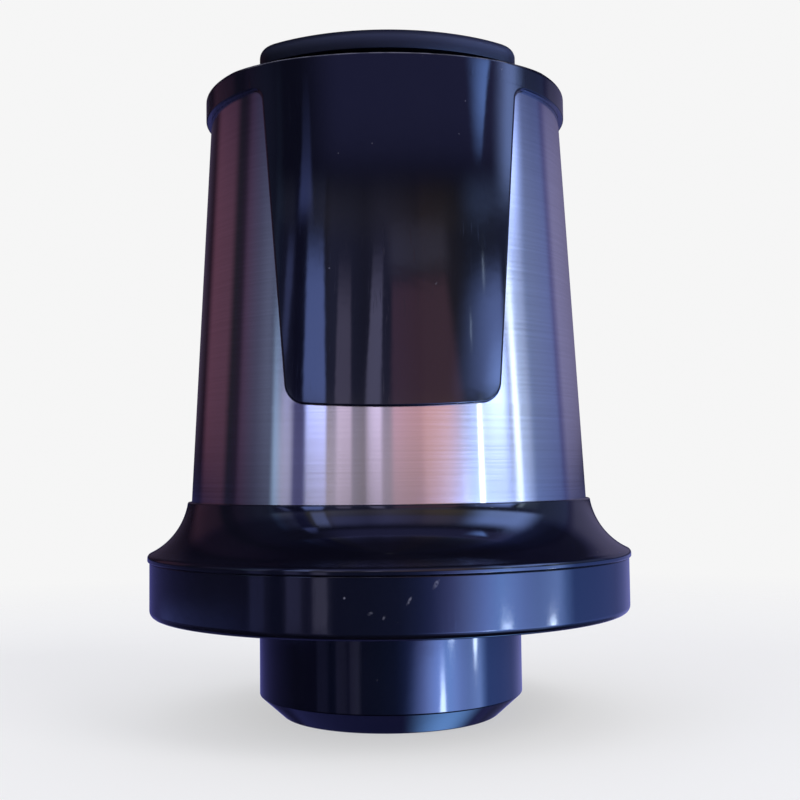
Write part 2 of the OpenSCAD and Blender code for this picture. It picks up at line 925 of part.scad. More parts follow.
// Ball bearing with its shielded faces set back between the races
module bearing(r_out, r_in, z, h) {
    difference() {
        tube(r_out - fit_gap, r_in + run_gap, z, h);
        for (face = [z - cut, z + h - cut / 2])
            tube(r_out - 2 * race_w, r_in + race_w, face, 1.5 * cut);
    }
}

module lower_bearing() {
    color(bright_steel)
        bearing(lower_bearing_r, shaft_r, lower_bearing_z, lower_bearing_h);
}

module upper_bearing() {
    color(bright_steel)
        bearing(upper_bearing_r, journal_r, upper_bearing_z, upper_bearing_h);
}

module motor_lower_bracket() {
    cup_r = lower_bearing_r + cup_wall;
    cup_z = lower_bearing_z - cup_lip;
    color("lightslategray")
        difference() {
            union() {
                tube(flange_r, hub_bore - cup_wall, bracket_z, bracket_t);
                on_circle(hub_screw_r, hub_screw_angles)
                    translate([0, 0, bracket_z])
                        cylinder(r = boss_r, h = bracket_t);
                translate([0, 0, cup_z])
                    cylinder(r = cup_r, h = lower_bearing_z + lower_bearing_h - cup_z);
                for (turn = [0, 90])
                    rotate(turn)
                        translate([-hub_bore, -spoke_w / 2, bracket_z])
                            cube([2 * hub_bore, spoke_w, bracket_t]);
            }
            translate([0, 0, lower_bearing_z])
                cylinder(r = lower_bearing_r, h = lower_bearing_h + cut);
            translate([0, 0, cup_z - cut])
                cylinder(r = lower_bearing_r - 2 * race_w, h = cup_lip + 2 * cut);
            on_circle(hub_screw_r, hub_screw_angles)
                translate([0, 0, bracket_z - cut])
                    cylinder(r = screw_r + fit_gap, h = bracket_t + 2 * cut);
        }
}

bar_half = 9;
foot_l = 10;

module motor_upper_bracket() {
    cup_z = upper_bearing_z - cup_lip;
    color("lightslategray")
        difference() {
            union() {
                translate([-stator_half, -bar_half, bar_top - bar_t])
                    cube([2 * stator_half, 2 * bar_half, bar_t]);
                translate([0, 0, cup_z])
                    cylinder(r = upper_bearing_r + cup_wall, h = bar_top - cup_z);
                for (side = [0, 180])
                    rotate(side) {
                        translate([stator_half - leg_t, -bar_half, stack_top])
                            cube([leg_t, 2 * bar_half, bar_top - stack_top]);
                        translate([stator_half - foot_l, -bar_half, stack_top])
                            cube([foot_l, 2 * bar_half, bar_t]);
                    }
            }
            translate([0, 0, upper_bearing_z])
                cylinder(r = upper_bearing_r, h = upper_bearing_h + cut);
            translate([0, 0, cup_z - cut])
                cylinder(r = upper_bearing_r - 2 * race_w, h = cup_lip + 2 * cut);
            for (sx = [-1, 1])
                translate([sx * motor_screw_x, 0, stack_top - cut])
                    cylinder(r = motor_screw_r + fit_gap, h = bar_t + 2 * cut);
        }
}

bore_r = rotor_r + air_gap;
coil_gap = 0.25;
slot_web = 0.75;
coil_w = 5.8;
coil_h = 6.3;
coil_y0 = 10.5;
coil_y1 = coil_y0 + coil_h;
coil_x0 = sqrt(pow(bore_r + slot_web, 2) - pow(coil_y0 - coil_gap, 2)) + coil_gap;
coil_x1 = coil_x0 + coil_w;
end_turn_lap = 0.8;
end_turn_in = rotor_r - end_turn_lap;
end_turn_t = 5.8;
coil_back = end_turn_in + end_turn_t;

module stator_core() {
    color("dimgray")
        translate([0, 0, stack_z])
            linear_extrude(height = stack_h)
                difference() {
                    intersection() {
                        circle(r = stator_r);
                        square(2 * stator_half, center = true);
                    }
                    circle(r = bore_r);
                    for (sx = [0, 1])
                        for (sy = [0, 1])
                            mirror([sx, 0])
                                mirror([0, sy])
                                    translate([coil_x0 - coil_gap, coil_y0 - coil_gap])
                                        square([coil_x1 - coil_x0, coil_y1 - coil_y0] + 2 * [coil_gap, coil_gap]);
                    for (sx = [-1, 1])
                        translate([sx * motor_screw_x, 0])
                            circle(r = motor_screw_r + fit_gap);
                }
}

// One field coil: two legs in the stator's slots and an end turn above and below it
module field_coil() {
    for (sx = [0, 1])
        mirror([sx, 0, 0]) {
            translate([coil_x0, coil_y0, winding_z])
                cube([coil_x1 - coil_x0, coil_y1 - coil_y0, stack_h + 2 * overhang]);
            for (z = [winding_z, stack_top + coil_gap])
                translate([coil_x0, coil_y0, z])
                    cube([coil_x1 - coil_x0, coil_back - coil_y0, overhang - coil_gap]);
        }
    for (z = [winding_z, stack_top + coil_gap])
        translate([-coil_x1, end_turn_in, z])
            cube([2 * coil_x1, end_turn_t, overhang - coil_gap]);
}

module field_coils() {
    color(copper)
        for (side = [0, 180])
            rotate(side)
                field_coil();
}

module at_motor_screws() {
    for (sx = [-1, 1])
        translate([sx * motor_screw_x, 0, 0])
            children();
}

module motor_mounts() {
    color(matt_black)
        at_motor_screws()
            tube(mount_r, motor_screw_r + fit_gap, ledge_top, mount_h);
}

// Share of the ledge that the motor screws reach through
screw_bite = 0.9;

module motor_screws() {
    color(bright_steel)
        at_motor_screws()
            translate([0, 0, stack_top + bar_t])
                screw(motor_screw_r, bar_t + stack_h + mount_h + screw_bite * (ledge_top - ledge_z), head_h);
}

module motor_shaft() {
    shoulder_z = lower_bearing_z - cup_lip - journal_gap;
    journal_z = commutator_z + commutator_l + journal_gap;
    color(bright_steel) {
        translate([0, 0, gear_z])
            cylinder(r = journal_r, h = shoulder_z - gear_z + cut);
        translate([0, 0, shoulder_z])
            cylinder(r = shaft_r, h = journal_z - shoulder_z);
        translate([0, 0, journal_z - cut])
            cylinder(r = journal_r, h = bar_top - free_gap - journal_z + cut);
    }
}

module sun_pinion() {
    color(bright_steel)
        translate([0, 0, gear_z])
            difference() {
                linear_extrude(height = gear_face + free_gap)
                    gear_outline(sun_teeth, addendum, dedendum, backlash);
                translate([0, 0, -cut])
                    cylinder(r = journal_r + fit_gap, h = gear_face + 3 * cut);
            }
}

fan_hub_wall = 4;
fan_hub_r = shaft_r + fan_hub_wall;
blade_root = 3;
blade_t = 1.4;
blade_sweep = 28;

module cooling_fan() {
    color(matt_black)
        difference() {
            union() {
                translate([0, 0, fan_z])
                    cylinder(r = fan_hub_r, h = fan_h);
                translate([0, 0, fan_z])
                    cylinder(r = fan_r, h = sheet_t);
                intersection() {
                    tube(fan_r, fan_hub_r + blade_root, fan_z, fan_h);
                    for (i = [0 : fan_blades - 1])
                        rotate(i * 360 / fan_blades)
                            translate([fan_hub_r, 0, fan_z])
                                rotate(-blade_sweep)
                                    cube([fan_r, blade_t, fan_h]);
                }
            }
            translate([0, 0, fan_z - cut])
                cylinder(r = shaft_r + fit_gap, h = fan_h + 2 * cut);
        }
}

slot_count = 12;
slot_in = 9;
tooth_tip = 1.3;
slot_out = rotor_r - tooth_tip;
rotor_slot_w = 3;
slot_mouth = 1.4;

module rotor_slots(shrink) {
    for (i = [0 : slot_count - 1])
        rotate((i + 0.5) * 360 / slot_count)
            translate([slot_in + shrink, -rotor_slot_w / 2 + shrink])
                square([slot_out - slot_in - 2 * shrink, rotor_slot_w - 2 * shrink]);
}

module rotor_core() {
    color("dimgray")
        translate([0, 0, stack_z])
            linear_extrude(height = stack_h)
                difference() {
                    circle(r = rotor_r);
                    circle(r = shaft_r + fit_gap);
                    rotor_slots(0);
                    for (i = [0 : slot_count - 1])
                        rotate((i + 0.5) * 360 / slot_count)
                            translate([slot_out - cut, -slot_mouth / 2])
                                square([rotor_r, slot_mouth]);
                }
}

end_gap = 1.5;
end_inset = 1.7;

module armature_winding() {
    end_in = shaft_r + end_gap;
    end_out = rotor_r - end_inset;
    color(copper) {
        for (z = [winding_z, stack_top])
            difference() {
                tube(end_out, end_in, z, overhang);
                for (i = [0 : slot_count - 1])
                    rotate(i * 360 / slot_count)
                        translate([end_out, 0, z - cut])
                            cylinder(r = slot_mouth, h = overhang + 2 * cut);
            }
        translate([0, 0, stack_z - coil_gap])
            linear_extrude(height = stack_h + 2 * coil_gap)
                rotor_slots(coil_gap / 2);
    }
}

bar_count = 24;
bar_groove = 0.5;
riser_h = 2;
riser_over = 1.5;
riser_r = commutator_r + riser_over;

module commutator() {
    color(copper)
        difference() {
            union() {
                tube(commutator_r, shaft_r + fit_gap, commutator_z, commutator_l);
                tube(riser_r, shaft_r + fit_gap, commutator_z, riser_h);
            }
            for (i = [0 : bar_count - 1])
                rotate(i * 360 / bar_count)
                    translate([commutator_r - cut, -bar_groove / 2, commutator_z - cut])
                        cube([riser_r, bar_groove, commutator_l + 2 * cut]);
        }
}

brush_z = commutator_z + riser_h + (commutator_l - riser_h) / 2;
brush_y = 3;
brush_h = 2.3;
brush_l = 8.5;
brush_tip_gap = 0.1;
holder_wall = 1;
holder_gap = 1.2;
holder_x0 = commutator_r + holder_gap;
holder_x1 = stator_half - leg_t;
brush_wrap = 0.5;
brush_x0 = commutator_r + brush_tip_gap - brush_wrap;

module at_brushes() {
    for (side = [0, 180])
        rotate(side)
            translate([0, 0, brush_z])
                children();
}

// Box along +X, centred on the axis
module rail(x0, x1, half_y, half_z) {
    translate([x0, -half_y, -half_z])
        cube([x1 - x0, 2 * half_y, 2 * half_z]);
}

module brush_holders() {
    color("goldenrod")
        at_brushes()
            difference() {
                rail(holder_x0, holder_x1, brush_y + fit_gap + holder_wall, brush_h + fit_gap + holder_wall);
                rail(holder_x0 - cut, holder_x1 - holder_wall, brush_y + fit_gap, brush_h + fit_gap);
            }
}

module carbon_brushes() {
    color([0.16, 0.16, 0.17])
        at_brushes()
            difference() {
                rail(brush_x0, brush_x0 + brush_l, brush_y, brush_h);
                translate([0, 0, -brush_h - cut])
                    cylinder(r = commutator_r + brush_tip_gap, h = 2 * brush_h + 2 * cut);
            }
}

brush_wire_r = 0.3;

module brush_springs() {
    spring_x = brush_x0 + brush_l + fit_gap;
    spring_l = holder_x1 - holder_wall - fit_gap - spring_x;
    color(bright_steel)
        at_brushes()
            translate([spring_x, 0, 0])
                rotate([0, 90, 0])
                    helix(brush_h - 2 * brush_wire_r, brush_wire_r, spring_l, spring_turns);
}

// Switch and electrical parts

switch_half_y = 5.15;
switch_end = 2;
switch_x0 = pivot_x - switch_end;
switch_l = 28;
plate_x = 20;
plate_y0 = -17;
plate_y1 = 18;
switch_screw_r = 1.4;
hole_inset = 3;
switch_holes = [for (x = [hole_inset, switch_l - hole_inset]) [switch_x0 + x, switch_z + hole_inset]];
plunger_r = 1.5;
plunger_x = pivot_x + plunger_arm;
plunger_stroke = travel * plunger_arm / lever_arm;
plunger_gap = 0.1;
plunger_lift = (plunger_arm - plunger_r) * tan(rest_tilt) - lever_t / 2 / cos(rest_tilt);
plunger_top = pivot_z + plunger_lift - plunger_gap;
plunger_l = 6;
pivot_r = 0.7;
ear_w = 1.2;
ear_gap = 0.3;
ear_y = lever_w / 2 + ear_gap;

module at_switch_holes() {
    for (hole = switch_holes)
        translate([hole.x, 0, hole.y])
            rotate([90, 0, 0])
                children();
}

module switch_bracket() {
    color(bright_steel)
        difference() {
            union() {
                translate([-plate_x, plate_y0, bar_top])
                    cube([2 * plate_x, plate_y1 - plate_y0, sheet_t]);
                translate([switch_x0, switch_half_y, bar_top])
                    cube([switch_l, sheet_t, switch_z + switch_h / 2 - bar_top]);
            }
            at_switch_holes()
                translate([0, 0, -switch_half_y - 2 * sheet_t])
                    cylinder(r = switch_screw_r + fit_gap, h = 3 * sheet_t);
        }
}

module switch_body() {
    color([0.2, 0.2, 0.22])
        difference() {
            union() {
                translate([switch_x0, -switch_half_y, switch_z])
                    cube([switch_l, 2 * switch_half_y, switch_h]);
                for (y = [-ear_y - ear_w, ear_y])
                    translate([pivot_x - 2 * pivot_r, y, switch_top - cut])
                        cube([4 * pivot_r, ear_w, pivot_z + 2 * pivot_r - switch_top + cut]);
            }
            translate([plunger_x, 0, plunger_top - plunger_l - plunger_stroke - free_gap])
                cylinder(r = plunger_r + run_gap, h = 2 * plunger_l);
            translate([pivot_x, 0, pivot_z])
                rotate([90, 0, 0])
                    cylinder(r = pivot_r + run_gap, h = 2 * switch_half_y, center = true);
            at_switch_holes()
                translate([0, 0, -switch_half_y - cut])
                    cylinder(r = switch_screw_r + fit_gap, h = 2 * switch_half_y + 2 * cut);
        }
}

module switch_plunger() {
    color("firebrick")
        translate([plunger_x, 0, plunger_top - plunger_l])
            cylinder(r = plunger_r, h = plunger_l);
}

module switch_lever() {
    color(bright_steel)
        translate([pivot_x, 0, pivot_z]) {
            rotate([90, 0, 0])
                cylinder(r = pivot_r, h = 2 * (ear_y + ear_w), center = true);
            rotate([0, -rest_tilt, 0])
                translate([0, -lever_w / 2, -lever_t / 2])
                    cube([lever_reach, lever_w, lever_t]);
        }
}

module switch_screws() {
    color(bright_steel)
        at_switch_holes()
            translate([0, 0, switch_half_y])
                screw(switch_screw_r, 2 * switch_half_y + sheet_t, head_h);
}

module suppression_capacitor() {
    capacitor = [18, 9, 14];
    color([0.75, 0.6, 0.2])
        translate([-capacitor.x / 2, switch_half_y + 2 * sheet_t, bar_top + sheet_t])
            cube(capacitor);
}

module terminal_block() {
    block = [24, 8, 9];
    poles = 3;
    color(nylon)
        translate([-block.x / 2, plate_y0 + sheet_t / 2, bar_top + sheet_t])
            difference() {
                cube(block);
                for (i = [0 : poles - 1])
                    translate([(i + 0.5) * block.x / poles, block.y / 2, block.z / 2])
                        cylinder(r = block.x / poles / 4, h = block.z);
            }
}

hub();
base_ring();
skirt();
steel_wrap();
collar_panel();
inner_housing();
cord_gland();
top_button();
button_spring();
ring_gear();
gearbox_cover();
output_bush();
shaft_seal();
thrust_washer();
planet_carrier();
planet_pins();
planet_gear_1();
planet_gear_2();
planet_gear_3();
drive_coupling();
motor_lower_bracket();
lower_bearing();
motor_upper_bracket();
upper_bearing();
stator_core();
field_coils();
motor_mounts();
motor_screws();
motor_shaft();
sun_pinion();
cooling_fan();
rotor_core();
armature_winding();
commutator();
brush_holders();
carbon_brushes();
brush_springs();
switch_bracket();
switch_body();
switch_plunger();
switch_lever();
switch_screws();
suppression_capacitor();
terminal_block();
hub_screws();
base_screws();
collar_screws();
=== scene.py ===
"""Looks of a food chopper's motor head: gloss black, brushed steel and a soft-touch press plate."""
import json
import math

import bmesh
import bpy
from mathutils import Matrix, Vector


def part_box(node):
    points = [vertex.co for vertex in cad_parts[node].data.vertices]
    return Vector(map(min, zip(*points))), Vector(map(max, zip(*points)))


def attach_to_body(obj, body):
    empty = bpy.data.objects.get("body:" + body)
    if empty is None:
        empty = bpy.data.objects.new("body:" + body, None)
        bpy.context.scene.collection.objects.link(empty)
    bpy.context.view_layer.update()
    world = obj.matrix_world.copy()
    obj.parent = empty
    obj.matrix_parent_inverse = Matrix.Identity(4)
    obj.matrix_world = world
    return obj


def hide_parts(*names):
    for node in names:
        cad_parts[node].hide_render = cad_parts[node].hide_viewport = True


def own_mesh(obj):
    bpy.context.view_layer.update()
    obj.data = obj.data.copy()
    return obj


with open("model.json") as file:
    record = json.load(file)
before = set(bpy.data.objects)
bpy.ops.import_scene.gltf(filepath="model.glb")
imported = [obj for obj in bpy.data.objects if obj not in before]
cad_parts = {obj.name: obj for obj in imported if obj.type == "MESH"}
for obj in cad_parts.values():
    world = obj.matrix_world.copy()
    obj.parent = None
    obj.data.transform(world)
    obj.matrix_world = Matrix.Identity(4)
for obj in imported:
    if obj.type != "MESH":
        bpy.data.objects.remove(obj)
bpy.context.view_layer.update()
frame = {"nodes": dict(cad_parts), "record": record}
nodes = frame["nodes"]

# Sizes in millimetres, taken from the frame where it gives them
MM = 0.001
# Clearance between pieces that fit into each other, and how far a drill runs past a wall
FIT = 0.05
PAST = 1.0


def low(node, axis):
    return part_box(node)[0][axis] / MM


def high(node, axis):
    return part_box(node)[1][axis] / MM


HUB_R = 33.0
HUB_WALL = 2.8
HUB_CHAMFER_W = 6.0
HUB_CHAMFER_H = 5.4
HUB_TOP = high("hub", 2)
SPIGOT_TOP = 28.5
NECK_IN = 0.5
WELL_R = 15.5
WELL_WALL = 2.5
WELL_DEPTH = low("shaft_seal", 2)
CHAMBER_Z = low("output_bush", 2)
SEAL_R = high("shaft_seal", 0) + FIT
BUSH_R = high("output_bush", 0) + FIT
BUSH_WALL = 3.0
BUSH_TOP = high("output_bush", 2)
RING_Z = low("ring_gear", 2)
TROUGH_R = 27.5
FLANGE_Z = low("inner_housing", 2)
FLANGE_R = 34.5
HUB_CLEAR = 0.15
DECK_Z = FLANGE_Z - 2.5

RIM_R = 60.0
RIM_WALL = 3.0
RIM_EDGE = 1.6
RIM_BOTTOM = low("base_ring", 2)
RIM_TOP = high("base_ring", 2)
LIP_R = 60.5
LIP_H = 2.0
LIP_BEAD = 1.1
SKIRT_TOP = high("skirt", 2)
SKIRT_SAG = 1.9
SKIRT_PROUD = 1.0
SKIRT_TUBE_IN = 1.55
SKIRT_TUBE_H = 2.0
TONGUE_T = 2.2
TONGUE_H = 1.5

BODY_BOTTOM_R = 49.7
BODY_TOP_R = 44.6
STEEL_T = 0.5
STEEL_BOTTOM = low("steel_wrap", 2)
STEEL_TOP = high("steel_wrap", 2)

COLLAR_TOP = high("collar_panel", 2)
COLLAR_H = 6.2
COLLAR_BOTTOM = COLLAR_TOP - COLLAR_H
COLLAR_R = BODY_TOP_R + 1.35
COLLAR_EDGE = 1.2
COLLAR_DIP = 1.9
DIP_START = 27.0
FRONT_EDGE = 0.35
PANEL_TOP_HALF = 29.5
PANEL_BOTTOM_HALF = 23.7
PANEL_DROP = 74.0
PANEL_Z = COLLAR_BOTTOM - PANEL_DROP
PANEL_CORNER = 5.0
PANEL_PROUD = 0.9
PANEL_EDGE = 0.45
PANEL_BOW = 0.8
BOW_FADE = 12.0
PANEL_OVERLAP = 0.3
STEEL_CORNER = 3.0

PLATE_HALF = high("top_button", 0)
PLATE_R = high("top_button", 1)
PLATE_CORNER = 8.0
PLATE_EDGE = 2.4
PLATE_TOP = high("top_button", 2)
PLATE_BOTTOM = COLLAR_TOP - 0.2
PLATE_GAP = 0.4
PLATE_T = 2.2
STEM_R = 9.0
STEM_EDGE = 0.5
NUB_R = 2.2
NUB_H = 1.8
POCKET_FLOOR = 1.7
GUIDE_CLEAR = 0.06
GUIDE_WALL = 1.8

WIRE_R = 0.6
SPRING_TURNS = 5

HUB_SCREW_R = 37.2
HUB_SCREW_ANGLES = (45, 135, 225, 315)
BASE_SCREW_R = 44.0
BASE_SCREW_ANGLES = (20, 110, 200, 290)
SCREW_R = 1.8
BOSS_R = 3.6
BOSS_H = 5.0
GLAND_Z = (low("cord_gland", 2) + high("cord_gland", 2)) / 2
GLAND_R = 5.05
SPRING_WELL_R = 16.0
SPRING_WELL_WALL = 1.5
SPRING_WELL_Z = low("collar_panel", 2)

SEGMENTS = 288
# Distance of the support lines that keep a flat wall flat beside a rounded edge
SUPPORT = 0.05
SMOOTH_ANGLE = math.radians(35)


# Mesh helpers

def add_object(name, data):
    obj = bpy.data.objects.new(name, data)
    bpy.context.scene.collection.objects.link(obj)
    return obj


def finish_mesh(name, bm):
    """Closes a bmesh into an object with outward normals and smooth faces."""
    bmesh.ops.recalc_face_normals(bm, faces=bm.faces)
    mesh = bpy.data.meshes.new(name)
    bm.to_mesh(mesh)
    bm.free()
    smooth(mesh)
    return add_object(name, mesh)


def smooth(mesh):
    for face in mesh.polygons:
        face.use_smooth = True
    mesh.set_sharp_from_angle(angle=SMOOTH_ANGLE)


def freeze(obj):
    """Turns an object's modifiers into plain mesh."""
    shown = obj.evaluated_get(bpy.context.evaluated_depsgraph_get())
    mesh = bpy.data.meshes.new_from_object(shown)
    obj.modifiers.clear()
    obj.data = mesh
    smooth(mesh)


def carve(obj, tools, operation):
    """Adds or cuts away other solids, which are used up."""
    for tool in tools:
        step = obj.modifiers.new("carve", "BOOLEAN")
        step.operation = operation
        step.solver = "EXACT"
        step.object = tool
    freeze(obj)
    for tool in tools:
        bpy.data.objects.remove(tool)


def rod(centre, r, start, end, axis="Z", sides=48):
    """A round rod along Z or Y with slightly broken edges, in millimetres."""
    edge = min(0.25, r / 8)
    bm = bmesh.new()
    rings = []
    for radius, at in ((r - edge, start), (r, start + edge), (r, end - edge), (r - edge, end)):
        ring = []
        for i in range(sides):
            a = 2 * math.pi * i / sides
            u, v = radius * math.cos(a), radius * math.sin(a)
            if axis == "Z":
                ring.append((centre[0] + u, centre[1] + v, at))
            else:
                ring.append((centre[0] + u, at, centre[1] + v))
        rings.append(ring)
    loops = loft(bm, rings, closed=False)
    for loop in (loops[0], loops[-1]):
        bm.faces.new(loop)
    return finish_mesh("rod", bm)


def rods_round(angles, ring_r, r, start, end):
    """Upright rods on a circle."""
    places = [(ring_r * math.cos(math.radians(a)), ring_r * math.sin(math.radians(a))) for a in angles]
    return [rod(place, r, start, end) for place in places]


def arc(cx, cy, r, start, end, steps=8):
    """Points of an arc, angles in degrees."""
    points = []
    for i in range(steps + 1):
        a = math.radians(start + (end - start) * i / steps)
        points.append((cx + r * math.cos(a), cy + r * math.sin(a)))
    return points


def rounded(corners, steps=6):
    """A closed outline from corners (x, y, radius), each rounded by its own radius."""
    path = []
    count = len(corners)
    for i, (x, y, r) in enumerate(corners):
        here = Vector((x, y))
        if r <= 0:
            path.append((x, y))
            continue
        before = (Vector(corners[i - 1][:2]) - here).normalized()
        after = (Vector(corners[(i + 1) % count][:2]) - here).normalized()
        half = before.angle(after) / 2
        centre = here + (before + after).normalized() * (r / math.sin(half))
        first = here + before * (r / math.tan(half)) - centre
        last = here + after * (r / math.tan(half)) - centre
        turn = first.angle_signed(last)
        path.append(tuple(centre + first + before * SUPPORT))
        for k in range(steps + 1):
            spoke = first.copy()
            spoke.rotate(Matrix.Rotation(-turn * k / steps, 2))
            path.append(tuple(centre + spoke))
        path.append(tuple(centre + last + after * SUPPORT))
    return path


def bowed(p0, p1, sag, steps=24):
    """A shallow arc from p0 to p1 that bulges to the left by sag."""
    p0, p1 = Vector(p0), Vector(p1)
    length = (p1 - p0).length
    along = (p1 - p0) / length
    left = Vector((-along.y, along.x))
    r = length * length / (8 * sag) + sag / 2
    half = math.asin(length / 2 / r)
    centre = (p0 + p1) / 2 - left * (r - sag)
    angles = [half * (2 * i / steps - 1) for i in range(steps + 1)]
    return [tuple(centre + r * (left * math.cos(a) + along * math.sin(a))) for a in angles]


def cap(bm, loop, z):
    """Closes a loop round the axis with triangles to a tip at a height."""
    tip = bm.verts.new((0, 0, z * MM))
    for i in range(len(loop)):
        bm.faces.new((loop[i], loop[(i + 1) % len(loop)], tip))


def loft(bm, rings, closed):
    """Joins rings of equal length with quads; closed also joins the last ring to the first."""
    loops = [[bm.verts.new(Vector(p) * MM) for p in ring] for ring in rings]
    pairs = list(zip(loops, loops[1:]))
    if closed:
        pairs.append((loops[-1], loops[0]))
    for a, b in pairs:
        for i in range(len(a)):
            k = (i + 1) % len(a)
            bm.faces.new((a[i], a[k], b[k], b[i]))
    return loops


def polar_ring(radius, z):
    """A ring round the axis; radius may be a function of the angle, and z of the angle and the radius."""
    ring = []
    for i in range(SEGMENTS):
        a = 2 * math.pi * i / SEGMENTS
        r = radius(a) if callable(radius) else radius
        ring.append((r * math.cos(a), r * math.sin(a), z(a, r) if callable(z) else z))
    return ring


def lathe(name, outline):
    """A solid of revolution from a closed outline of (radius, height)."""
    bm = bmesh.new()
    loft(bm, [polar_ring(r, z) for r, z in outline], closed=True)
    return finish_mesh(name, bm)


# Outlines of the casing

TAPER = (BODY_BOTTOM_R - BODY_TOP_R) / (COLLAR_BOTTOM - SKIRT_TOP)


def steel_at(z):
    return BODY_BOTTOM_R - TAPER * (z - SKIRT_TOP)


def plate_radius(angle, grow=0.0):
    """Distance from the axis to the press plate's outline at an angle from +X."""
    r, half, corner = PLATE_R + grow, PLATE_HALF + grow, PLATE_CORNER + grow
    cx = half - corner
    cy = math.sqrt((r - corner) ** 2 - cx * cx)
    u = Vector((abs(math.cos(angle)), abs(math.sin(angle))))
    folded = math.atan2(u.y, u.x)
    if folded < math.atan2(cy, half):
        return half / u.x
    if folded > math.atan2(cy, cx):
        return r
    reach = u.dot(Vector((cx, cy)))
    return reach + math.sqrt(reach * reach - cx * cx - cy * cy + corner * corner)


PANEL_LEAN = math.atan((PANEL_TOP_HALF - PANEL_BOTTOM_HALF) / PANEL_DROP)
CORNER_ROWS = 10
SIDE_ROWS = 40
FILLET_ROWS = 8
PANEL_COLUMNS = 48


def panel_side(grow):
    """Right edge of the front panel as (half width, height), from its lower corner up into the collar."""
    r = PANEL_CORNER + grow
    half = PANEL_BOTTOM_HALF + grow
    z0 = PANEL_Z - grow
    lean = math.degrees(PANEL_LEAN)
    corner_x = half + r * math.tan(PANEL_LEAN) - r / math.cos(PANEL_LEAN)
    fillet = STEEL_CORNER - grow
    fillet_z = COLLAR_BOTTOM - STEEL_CORNER
    fillet_x = half + (fillet_z - z0) * math.tan(PANEL_LEAN) + fillet / math.cos(PANEL_LEAN)
    lower = arc(corner_x, z0 + r, r, -90, -lean, CORNER_ROWS)
    upper = arc(fillet_x, fillet_z, fillet, 180 - lean, 90, FILLET_ROWS)
    a, b = Vector(lower[-1]), Vector(upper[0])
    straight = [tuple(a.lerp(b, i / SIDE_ROWS)) for i in range(1, SIDE_ROWS)]
    return lower + straight + upper + [(fillet_x, COLLAR_BOTTOM + PANEL_EDGE + PANEL_OVERLAP)]


def on_cone(x, z, proud):
    """Point of the front on the sleeve's cone, moved outwards by proud."""
    r = steel_at(z) + proud
    return (x, -math.sqrt(r * r - x * x), z)


def bow_at(share, z):
    """How far the panel's bowed lower edge pulls a point down; share runs from -1 to 1 across the panel."""
    fade = max(0.0, 1 - (z - PANEL_Z) / BOW_FADE)
    return PANEL_BOW * (1 - share * share) * fade


def panel_grid(grow, proud):
    """Rows of points over the panel, lowest first; proud is a function of the height."""
    rows = []
    for half, z in panel_side(grow):
        row = []
        for j in range(PANEL_COLUMNS + 1):
            share = 2 * j / PANEL_COLUMNS - 1
            zz = z - bow_at(share, z)
            row.append(on_cone(half * share, zz, proud(zz)))
        rows.append(row)
    return rows


def grid_border(rows):
    """The border of a grid of rows: down the left, along the bottom, up the right and back along the top."""
    left = [row[0] for row in reversed(rows)]
    right = [row[-1] for row in rows]
    return left[:-1] + rows[0][:-1] + right[:-1] + list(reversed(rows[-1]))[:-1]


# Height over which the panel turns upright below the collar
BLEND_H = 2 * (COLLAR_R - BODY_TOP_R - PANEL_PROUD) / TAPER
PANEL_LAP = 0.004


def panel_proud(z):
    """How far the panel stands out: it rises slowly to the collar's bulge, so that no step is left."""
    t = min(1.0, max(0.0, 1 - (COLLAR_BOTTOM - z) / BLEND_H))
    from_cone = COLLAR_R + PANEL_LAP - steel_at(max(z, COLLAR_BOTTOM))
    return PANEL_PROUD + (from_cone - PANEL_PROUD) * t * t


def fill_grid(bm, rows):
    """Makes the vertices and faces of a grid and returns its vertices by row."""
    verts = [[bm.verts.new(Vector(p) * MM) for p in row] for row in rows]
    for a, b in zip(verts, verts[1:]):
        for j in range(len(a) - 1):
            bm.faces.new((a[j], a[j + 1], b[j + 1], b[j]))
    return verts


def add_panel(bm):
    """Front panel as a closed curved slab with a rounded edge."""
    steps = 6
    support_turn = 2
    front = fill_grid(bm, panel_grid(-PANEL_EDGE, panel_proud))
    border = grid_border(front)
    for turn in [support_turn] + [90 * i / steps for i in range(1, steps + 1)]:
        a = math.radians(turn)
        grow = -PANEL_EDGE * (1 - math.sin(a))
        drop = PANEL_EDGE * (1 - math.cos(a))
        ring = grid_border(panel_grid(grow, lambda z: panel_proud(z) - drop))
        border = bridge(bm, border, [bm.verts.new(Vector(p) * MM) for p in ring])
    back = fill_grid(bm, panel_grid(0.0, lambda z: -STEEL_T))
    bridge(bm, border, grid_border(back))


def bridge(bm, a, b):
    """Joins two closed loops of vertices with quads and returns the second."""
    for i in range(len(a)):
        k = (i + 1) % len(a)
        bm.faces.new((a[i], a[k], b[k], b[i]))
    return b


# Pieces

